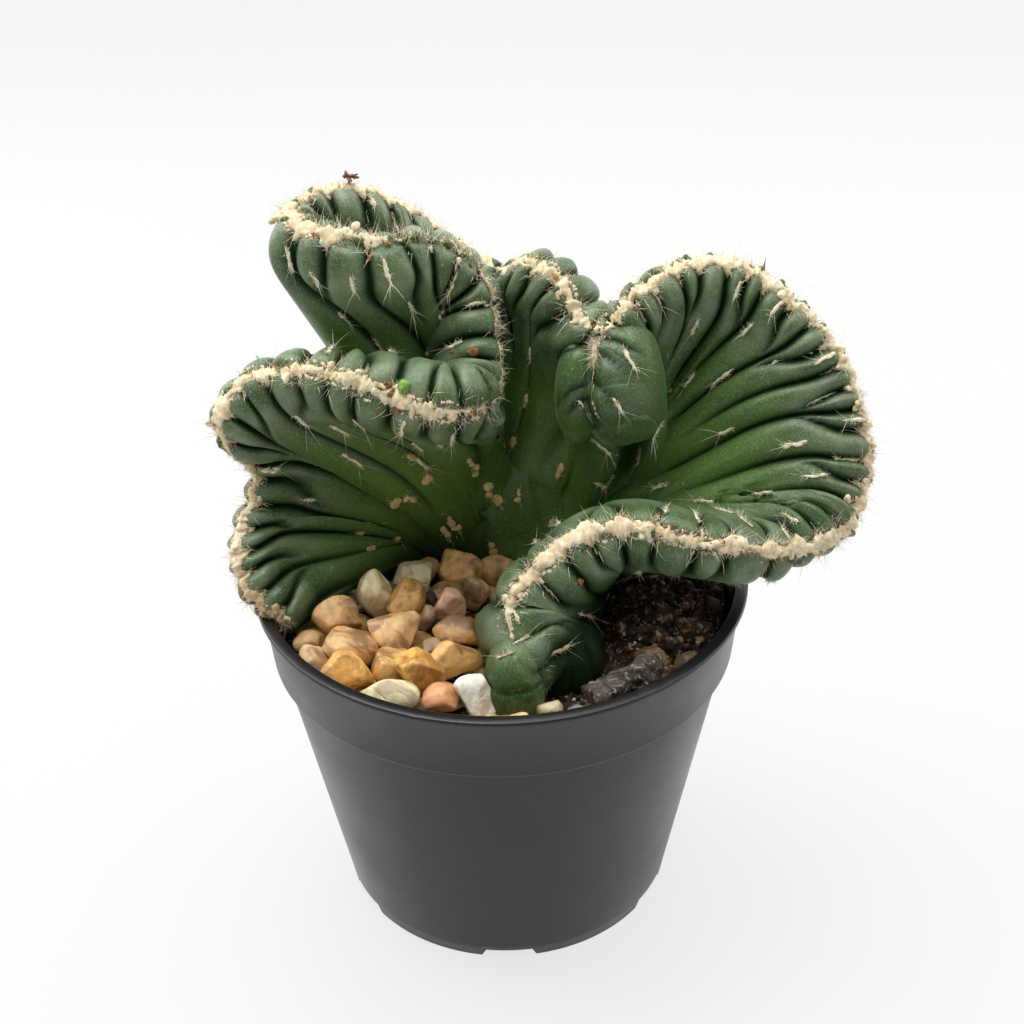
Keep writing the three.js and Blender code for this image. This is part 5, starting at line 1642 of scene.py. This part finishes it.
column = crest_at_pixel(*BROWN_SPINE_PIXEL)
spine_roots = main_fan["middle"][[column, column + 3], 0]
spine_ways = np.array([[0.05, 0.1, 1.0], [-0.5, 0.1, 0.8]])
spine_bends = np.array([[0.3, 0, 0], [-0.3, 0, 0.2]])
spine_mesh = hair_mesh(spine_roots, spine_ways, SPINE_LENGTHS, SPINE_WIDTHS, spine_bends, seed=92)
wool_piece("brown_spine", spine_mesh, scab_finish)


# Areoles. Each rib bears small woolly cushions, most with a fan of fine pale spines that
# spring from the lower end. Old ones low on the stem have turned brown.
AREOLE_CHANCE = 0.62
AREOLE_DEPTHS = (9, 20, 33)
OLD_DEPTH = 30
LOWEST_AREOLE = 84 * MM
TUFT_LENGTH = (3.8, 6.6)
TUFT_WIDTH = (0.6, 1.0)
TUFT_HAIRS = 44
OLD_LENGTH = (2.8, 4.6)
OLD_WIDTH = (1.7, 2.8)
OLD_HAIRS = 16
SPINE_REACH = (3.5, 7.5)
SPINY_PIXELS = (
    # across, down, spines; big right lobe, from the crest down
    (659, 301, 6), (695, 326, 2), (737, 290, 2), (777, 307, 3), (747, 330, 1), (722, 377, 4),
    (774, 363, 3), (825, 358, 2), (630, 360, 4), (618, 406, 3), (657, 431, 7), (726, 431, 3),
    (823, 397, 2), (794, 444, 3), (846, 460, 2), (815, 476, 3), (764, 493, 3), (703, 501, 4),
    (661, 486, 4), (608, 483, 3), (602, 447, 5), (580, 402, 3), (666, 511, 2), (697, 518, 3),
    (745, 521, 3), (791, 518, 2), (787, 535, 2), (855, 420, 2), (690, 380, 2), (640, 455, 2),
    # upper and middle left lobes
    (289, 260, 3), (315, 280, 2), (353, 286, 2), (387, 272, 3), (410, 307, 7), (452, 286, 5),
    (345, 319, 2), (476, 303, 2), (455, 345, 3), (500, 327, 2), (397, 227, 2), (367, 219, 1),
    (373, 202, 1), (380, 347, 2), (330, 350, 3), (300, 420, 3), (340, 430, 2), (420, 462, 8),
    (402, 428, 3), (452, 438, 4), (270, 470, 2), (310, 500, 2), (352, 460, 2),
    # front arm
    (545, 586, 2), (585, 615, 3), (560, 650, 3), (520, 640, 2), (612, 600, 4), (505, 655, 1),
)
OLD_PIXELS = (
    # across, down; low between the lobes
    (392, 501), (410, 496), (429, 478), (411, 458), (445, 533), (458, 530), (489, 489),
    (500, 501), (519, 497), (512, 445), (560, 470), (558, 521), (470, 462), (448, 518),
    (397, 540), (492, 547), (600, 485), (474, 470),
)
tuft_rows = []
for across, down, spines in SPINY_PIXELS:
    seat = seat_at_pixel(across, down)
    if seat is not None:
        tuft_rows.append((*seat, spines, False))
for across, down in OLD_PIXELS:
    seat = seat_at_pixel(across, down)
    if seat is not None:
        tuft_rows.append((*seat, 1, True))

rng = np.random.default_rng(71)
for fan, share in ((main_fan, 1.0), (fold_fan, 0.5)):
    for number, place in enumerate(fan["places"][1:-1]):
        for side in ("front", "back"):
            for depth in AREOLE_DEPTHS:
                if rng.random() > AREOLE_CHANCE * share:
                    continue
                run = place + RIB_PITCH / 2 + rng.uniform(-1.5, 1.5)
                column = column_at(fan, run)
                row = int(np.searchsorted(fan["below"][column], depth + rng.uniform(-3, 3)))
                if row > fan["below"].shape[1] - 4:
                    continue
                spot, out, up = rib_seat(fan, side, column, row)
                sight = spot + out * (0.8 * MM) - camera_place
                blocked = skin_tree.ray_cast(camera_place, sight.normalized(), sight.length)[0]
                shows = out.dot(sight) < 0 and blocked is None
                if shows or spot.z < LOWEST_AREOLE:
                    continue
                tuft_rows.append((spot, out, up, int(rng.integers(0, 5)), depth > OLD_DEPTH))

young_rows, old_rows = [], []
fuzz, spines_made = [], []
for place, out, up, spines, old in tuft_rows:
    length = rng.uniform(*(OLD_LENGTH if old else TUFT_LENGTH))
    if spines <= 1 and not old:
        length *= 0.6
    wide = rng.uniform(*(OLD_WIDTH if old else TUFT_WIDTH))
    side = out.cross(up).normalized()
    spot = np.array(place) / MM
    outward, upward, sideways = np.array(out), np.array(up), np.array(side)
    for number in range(2 if old else 5):
        step = rng.uniform(-0.4, 0.4) if old else (number - 2) * 0.16
        middle = place + (up * step * length + side * rng.normal(0, 0.18) * wide) * MM
        share = rng.uniform(0.35, 0.75) if old else 0.5 - 0.06 * abs(number - 2)
        row = (middle, out, up, (wide * rng.uniform(0.5, 1), wide * 0.6, length * share))
        (old_rows if old else young_rows).append(row)
    for _ in range(OLD_HAIRS if old else TUFT_HAIRS):
        step = rng.uniform(-0.5, 0.5)
        root = (spot + upward * step * length + sideways * rng.normal(0, 0.25) * wide
                + outward * 0.15)
        way = (outward * rng.uniform(0.15, 0.8) + upward * rng.normal(step * 2, 0.7)
               + sideways * rng.normal(0, 0.45))
        fuzz.append((root, way, rng.uniform(0.6, 1.9), rng.uniform(0.10, 0.2)))
    for number in range(spines):
        spread = (number + 0.5) / spines * 2 - 1 + rng.uniform(-0.2, 0.2)
        root = spot - upward * length * rng.uniform(0.2, 0.45)
        way = outward * rng.uniform(0.15, 0.7) - upward * rng.uniform(0.5, 1.0)
        way += sideways * spread
        reach = rng.uniform(*SPINE_REACH) * (0.6 if old else 1)
        spines_made.append((root, way, reach, rng.uniform(0.10, 0.16),
                            rng.normal(0, 0.4, 3) - [0, 0, 0.4]))

tuft_wool = wool_finish("areole_cushion", (0.97, 0.90, 0.70), (0.90, 0.76, 0.50),
                        (0.30, 0.15, 0.06), 0.03)
old_wool = wool_finish("old_areole_cushion", (0.78, 0.61, 0.26), (0.50, 0.32, 0.09),
                       (0.26, 0.11, 0.035), 0.16)
tuft_mesh = roughened(set_on_skin(spindle, young_rows), 0.9, 0.3, 4)
wool_piece("areole_tufts", tuft_mesh, tuft_wool)
tuft_mesh = roughened(set_on_skin(spindle, old_rows), 0.9, 0.35, 5)
wool_piece("old_areoles", tuft_mesh, old_wool)
for name, hairs, seed in (("areole_fuzz", fuzz, 72), ("areole_spines", spines_made, 73)):
    hairs = (np.array(values) for values in zip(*hairs))
    wool_piece(name, hair_mesh(*hairs, seed=seed), bristle)


# Gravel. Tumbled river stones in tan, brown and orange, banded and stained, with a few
# pale, pink and dark ones. They lie loose on the soil in front of the plant.
PEBBLE_LOOKS = {
    # number: light colour, dark colour, band scale, gloss roughness
    1: ((0.62, 0.52, 0.36), (0.36, 0.25, 0.13), 90, 0.5),
    2: ((0.45, 0.38, 0.27), (0.30, 0.24, 0.16), 40, 0.55),
    3: ((0.44, 0.27, 0.13), (0.20, 0.11, 0.05), 120, 0.5),
    4: ((0.55, 0.31, 0.12), (0.16, 0.075, 0.03), 150, 0.42),
    5: ((0.42, 0.26, 0.12), (0.22, 0.13, 0.06), 120, 0.5),
    6: ((0.45, 0.30, 0.16), (0.13, 0.085, 0.06), 170, 0.45),
    7: ((0.46, 0.25, 0.09), (0.15, 0.065, 0.02), 210, 0.4),
    8: ((0.045, 0.033, 0.032), (0.012, 0.010, 0.010), 500, 0.7),
    9: ((0.62, 0.38, 0.27), (0.46, 0.24, 0.16), 60, 0.5),
    10: ((0.32, 0.23, 0.16), (0.16, 0.11, 0.08), 120, 0.5),
    11: ((0.40, 0.24, 0.09), (0.20, 0.11, 0.08), 160, 0.42),
    12: ((0.56, 0.36, 0.20), (0.30, 0.15, 0.08), 110, 0.5),
    13: ((0.50, 0.31, 0.15), (0.24, 0.12, 0.06), 140, 0.45),
    14: ((0.52, 0.31, 0.15), (0.24, 0.12, 0.06), 150, 0.45),
    15: ((0.36, 0.22, 0.12), (0.15, 0.08, 0.04), 150, 0.5),
    16: ((0.58, 0.44, 0.30), (0.38, 0.24, 0.14), 90, 0.5),
    17: ((0.60, 0.32, 0.09), (0.30, 0.13, 0.04), 120, 0.4),
    18: ((0.50, 0.30, 0.13), (0.25, 0.13, 0.05), 130, 0.45),
    19: ((0.62, 0.33, 0.09), (0.34, 0.15, 0.04), 130, 0.38),
    20: ((0.56, 0.33, 0.13), (0.28, 0.13, 0.05), 120, 0.4),
    21: ((0.56, 0.49, 0.35), (0.34, 0.27, 0.18), 80, 0.45),
    22: ((0.48, 0.22, 0.12), (0.26, 0.11, 0.06), 160, 0.5),
    23: ((0.74, 0.69, 0.60), (0.40, 0.30, 0.20), 90, 0.5),
    24: ((0.30, 0.20, 0.13), (0.14, 0.085, 0.05), 150, 0.5),
    25: ((0.52, 0.33, 0.17), (0.30, 0.17, 0.08), 100, 0.45),
    26: ((0.56, 0.46, 0.30), (0.34, 0.24, 0.13), 100, 0.5),
    27: ((0.13, 0.155, 0.17), (0.08, 0.095, 0.11), 150, 0.55),
    28: ((0.20, 0.12, 0.06), (0.08, 0.045, 0.025), 120, 0.5),
    29: ((0.12, 0.07, 0.04), (0.05, 0.03, 0.02), 140, 0.5),
    30: ((0.34, 0.22, 0.12), (0.17, 0.10, 0.06), 140, 0.5),
}
STONE_BRIGHTNESS = (1.44, 1.46, 1.20)
BRIGHTEST = 0.86
RUST_TINT = (0.70, 0.40, 0.16, 1)
SPECK_COLOUR = (0.72, 0.60, 0.44, 1)
GROUND_SIDES = 8
GROUND_DEPTH = (0.5, 0.85)
WORN_EDGE = 0.004
STONE_FIT = 1.1
DARK_LAVA = 8
LAVA_PITS = 1.6
STONE_LUMPS = 4.5
FILL_TRIES = 2600
FILL_SIZE = (2.4, 4.6)
FILL_ROOM = 0.62
FILL_LOOKS = (5, 19, 21, 11, 25)


def stone_group():
    """Layered stone: bands, stains and fine grain mixed from two colours."""
    group = bpy.data.node_groups.new("layered_stone", "ShaderNodeTree")
    for name, way, kind in (
        ("Vector", "INPUT", "NodeSocketVector"),
        ("Light", "INPUT", "NodeSocketColor"),
        ("Dark", "INPUT", "NodeSocketColor"),
        ("Band Scale", "INPUT", "NodeSocketFloat"),
        ("Colour", "OUTPUT", "NodeSocketColor"),
        ("Height", "OUTPUT", "NodeSocketFloat"),
    ):
        group.interface.new_socket(name, in_out=way, socket_type=kind)
    entry = group.nodes.new("NodeGroupInput")
    leave = group.nodes.new("NodeGroupOutput")
    vector, dark = entry.outputs["Vector"], entry.outputs["Dark"]
    wave = add_node(group, "ShaderNodeTexWave", {
        "Vector": vector,
        "Scale": entry.outputs["Band Scale"],
        "Distortion": 7.0,
        "Detail": 4.0,
        "Detail Scale": 1.6,
        "Detail Roughness": 0.6,
    }, wave_type="BANDS", bands_direction="DIAGONAL")
    bands = value_ramp(group, wave.outputs["Fac"], 0.45, 0.85)
    patch = value_ramp(group, noise_value(group, vector, 130, 5, 0.65, 0.6), 0.46, 0.62)
    layered = mixed(group, product(group, bands, 0.2), entry.outputs["Light"], dark)
    stained = mixed(group, product(group, patch, 0.85), layered, dark)
    rust = value_ramp(group, noise_value(group, vector, 75, 3, 0.5, 0.6), 0.52, 0.68)
    rusty = mixed(group, product(group, rust, 0.45), stained, RUST_TINT, "MULTIPLY")
    grain = noise_value(group, vector, 2200, 3, 0.7)
    speck = value_ramp(group, grain, 0.55, 0.75)
    pale = mixed(group, product(group, speck, 0.28), rusty, SPECK_COLOUR)
    vein_field = add_node(group, "ShaderNodeTexVoronoi", {"Vector": vector, "Scale": 110.0},
                          feature="DISTANCE_TO_EDGE")
    vein = value_ramp(group, vein_field.outputs["Distance"], 0.035, 0.0)
    some = value_ramp(group, noise_value(group, vector, 90, 2), 0.6, 0.7)
    crack = product(group, vein, some)
    cracked = mixed(group, product(group, crack, 0.4), pale, dark)
    group.links.new(cracked, leave.inputs["Colour"])
    cuts = product(group, crack, -0.4)
    pits = added(group, noise_value(group, vector, 600, 4, 0.7), cuts)
    group.links.new(pits, leave.inputs["Height"])
    return group


layered_stone = stone_group()


def pebble_finish(number):
    light, dark, band_scale, roughness = PEBBLE_LOOKS[number]
    made, tree, shader = new_material(f"stone_{number:02d}", roughness=roughness)
    draw = np.random.default_rng(800 + number)
    vector = object_point(tree, offset=tuple(draw.uniform(-1, 1, 3)),
                          turn=tuple(draw.uniform(0, 3, 3)))
    stone = add_node(tree, "ShaderNodeGroup", node_tree=layered_stone)
    tree.links.new(vector, stone.inputs["Vector"])
    light = [min(BRIGHTEST, c * gain) for c, gain in zip(light, STONE_BRIGHTNESS)]
    stone.inputs["Light"].default_value = (*light, 1)
    stone.inputs["Dark"].default_value = (*dark, 1)
    stone.inputs["Band Scale"].default_value = band_scale
    tree.links.new(stone.outputs["Colour"], shader.inputs["Base Color"])
    add_bump(tree, shader, stone.outputs["Height"], 0.00035, 0.8)
    return made


def tumbled_stone(centre, axes, half, seed, subdivisions):
    """A worn stone: a ball stretched to its size, ground flat on some sides, in mm."""
    draw = np.random.default_rng(seed)
    mesh = ball_mesh(subdivisions, radius=1)
    ball = positions(mesh)
    for _ in range(GROUND_SIDES):
        way = unit(draw.normal(0, 1, 3))
        over = ball @ way - draw.uniform(*GROUND_DEPTH)
        ball -= way * ((over + np.sqrt(over ** 2 + WORN_EDGE)) / 2)[:, None]
    low, high = ball.min(0), ball.max(0)
    ball = (ball - low) / (high - low) * 2 - 1
    move_to(mesh, ((ball * half) @ axes + centre) * MM)
    rough_size = LAVA_PITS if seed == DARK_LAVA else STONE_LUMPS
    return roughened(roughened(mesh, rough_size, 0.45, seed), 1.5, 0.13, seed + 40)


for number in PEBBLE_LOOKS:
    node = f"pebble_{number:02d}"
    corners = positions(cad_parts[node].data) / MM
    axes = np.linalg.svd(corners - corners.mean(0), full_matrices=False)[2]
    axes[2] *= np.sign(np.linalg.det(axes))
    along_axes = corners @ axes.T
    low, high = along_axes.min(0), along_axes.max(0)
    mesh = tumbled_stone((low + high) / 2 @ axes, axes, (high - low) / 2 * STONE_FIT, number, 4)
    finish_piece(f"stone_{number:02d}", mesh, pebble_finish(number), (node,))

draw = np.random.default_rng(31)
taken = [((Vector(low) + Vector(high)) / 2 / MM, (Vector(high) - Vector(low)).length / MM / 4)
         for low, high in (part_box(f"pebble_{n:02d}") for n in PEBBLE_LOOKS)]
fillers = []
for _ in range(FILL_TRIES):
    x, y = draw.uniform(-50, 24), draw.uniform(-53, 4)
    size = draw.uniform(*FILL_SIZE)
    place = Vector((x, y, SOIL_TOP + 0.9))
    on_gravel = x < 8 or (y < -46 and x < 24)
    clear = all((place.xy - other.xy).length > FILL_ROOM * (size + reach)
                for other, reach in taken)
    if on_gravel and clear and math.hypot(x, y) + size < SOIL_EDGE - 0.5:
        taken.append((place, size))
        fillers.append((place, size))
tipped = Matrix.Rotation(0.4, 3, "X")
for kind, look in enumerate(FILL_LOOKS):
    whole = bmesh.new()
    for number, (place, size) in enumerate(fillers):
        if number % len(FILL_LOOKS) != kind:
            continue
        turn = np.array(Matrix.Rotation(draw.uniform(0, 6.3), 3, "Z") @ tipped)
        half = size * np.array((1, draw.uniform(0.6, 0.95), draw.uniform(0.5, 0.8)))
        join_to(whole, tumbled_stone(np.array(place), turn, half, 300 + number, 3))
    finish_piece(f"small_stones_{kind + 1}", mesh_of(whole), pebble_finish(look))


# Twig. A short weathered stub of wood, grey and split along its grain, lies on the soil
# between the front arm and the rim.
TWIG_SWELL = 1.9
TWIG_TURN = math.radians(8)
TWIG_SHIFT = (-0.5, 2.6, 1.2)
TWIG_RUN = (17.0, 11.0, 1.1)
TWIG_ROUNDS = 4
CRUST_COLOUR = (0.035, 0.020, 0.013, 1)
LICHEN_COLOUR = (0.62, 0.60, 0.55, 1)
twig_shape = bmesh.new()
twig_shape.from_mesh(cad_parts["twig"].data)
bmesh.ops.remove_doubles(twig_shape, verts=twig_shape.verts[:], dist=2e-5)
bmesh.ops.triangulate(twig_shape, faces=twig_shape.faces[:])
bmesh.ops.subdivide_edges(twig_shape, edges=twig_shape.edges[:], cuts=5, use_grid_fill=True)
low, high = (Vector(c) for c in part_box("twig"))
twig_middle = (low + high) / 2
twig_run = Vector(TWIG_RUN).normalized()
for vertex in twig_shape.verts:
    along = (vertex.co - twig_middle).dot(twig_run) * twig_run
    across = vertex.co - twig_middle - along
    vertex.co = Matrix.Rotation(TWIG_TURN, 3, "Z") @ (along + across * TWIG_SWELL)
    vertex.co += twig_middle + Vector(TWIG_SHIFT) * MM
for _ in range(TWIG_ROUNDS):
    bmesh.ops.smooth_vert(twig_shape, verts=twig_shape.verts[:], factor=0.5,
                          use_axis_x=True, use_axis_y=True, use_axis_z=True)
twig_mesh = roughened(roughened(mesh_of(twig_shape), 4.5, 2.0, 9), 1.5, 0.7, 10)
twig_finish, tree, shader = new_material("weathered_wood", roughness=0.85)
along_grain = object_point(tree, turn=(0, 0, math.radians(-33)), scale=(120, 1100, 1100))
wood = colour_ramp(tree, noise_value(tree, along_grain, 1.0, 4, 0.65), [
    (0.32, (0.016, 0.010, 0.007)),
    (0.54, (0.075, 0.056, 0.045)),
    (0.74, (0.34, 0.30, 0.26)),
])
crust = value_ramp(tree, noise_value(tree, object_point(tree), 420, 4, 0.65), 0.52, 0.64)
wood = mixed(tree, crust, wood, CRUST_COLOUR)
elsewhere = object_point(tree, offset=(3, 1, 2))
lichen = value_ramp(tree, noise_value(tree, elsewhere, 650, 4, 0.7), 0.58, 0.66)
wood = mixed(tree, product(tree, lichen, 0.7), wood, LICHEN_COLOUR)
tree.links.new(wood, shader.inputs["Base Color"])
add_bump(tree, shader, noise_value(tree, object_point(tree), 700, 5, 0.7), 0.0008)
finish_piece("weathered_twig", twig_mesh, twig_finish, ("twig",))


# Loose soil. Crumbs and clods of the mix, dark bark chips and white grains of perlite lie
# on the open soil, most of them heaped on the right. They rest on it, unfixed.
OPEN_HEAP = (26, -38)
OPEN_SOIL = (10, 4)
SPARSE_SHARE = 0.55
crumb_finish = mottled_finish("loam_crumb", 0.95, (380, 3, 0.6), [
    (0.38, (0.005, 0.003, 0.002)),
    (0.52, (0.060, 0.034, 0.018)),
    (0.66, (0.48, 0.30, 0.17)),
], (1500, 4, 0.7), 0.0005)
bark_finish = mottled_finish("bark", 0.9, (500, 4, 0.65), [
    (0.30, (0.018, 0.009, 0.005)),
    (0.55, (0.075, 0.036, 0.018)),
    (0.75, (0.20, 0.115, 0.062)),
], (1300, 4, 0.7), 0.0005)
perlite_finish = mottled_finish("perlite_grain", 0.9, (900, 3, 0.6), [
    (0.30, (0.42, 0.37, 0.30)),
    (0.60, (0.83, 0.81, 0.76)),
], (2600, 3, 0.7), 0.0003)
LOOSE = (
    # name, count, length range, height share, sunk share, on the heap only, lifted, shape, finish
    ("soil_crumbs", 1500, (0.5, 1.9), 0.8, 0.2, False, True, grain_ball, crumb_finish),
    ("soil_clods", 110, (2.4, 5.5), 0.75, 0.35, True, False, spindle, crumb_finish),
    ("bark_chips", 60, (1.8, 5.0), 0.35, 0.1, False, True, spindle, bark_finish),
    ("perlite", 60, (0.5, 1.6), 0.7, 0.15, False, True, spindle, perlite_finish),
)
draw = np.random.default_rng(47)
for name, count, lengths, height_share, sunk, heap_only, lifted, template, finish in LOOSE:
    rows = []
    while len(rows) < count:
        x, y = draw.uniform(-53, 53, 2)
        on_heap = x > OPEN_HEAP[0] and y > OPEN_HEAP[1]
        open_soil = on_heap or (not heap_only and (x > OPEN_SOIL[0] or y > OPEN_SOIL[1]))
        if math.hypot(x, y) > SOIL_EDGE - 2 or not open_soil:
            continue
        if not on_heap and draw.random() > SPARSE_SHARE:
            continue
        level = float(soil_height(np.array([[x, y, 0.0]]))[0])
        length = draw.uniform(*lengths)
        lift = draw.uniform(0, 1.6) if on_heap and lifted else 0
        tilt = Vector((draw.normal(0, 0.3), draw.normal(0, 0.3), 1)).normalized()
        spin = draw.uniform(0, 6.3)
        run = Vector((math.cos(spin), math.sin(spin), 0))
        run = (run - tilt * run.dot(tilt)).normalized()
        size = (length * draw.uniform(0.5, 0.95), length * height_share, length)
        rows.append((Vector((x, y, level + lift)) * MM, tilt, run, size))
    loose_mesh = roughened(set_on_skin(template, rows, sunk), 0.9, 0.55, 21)
    finish_piece(name, loose_mesh, finish)
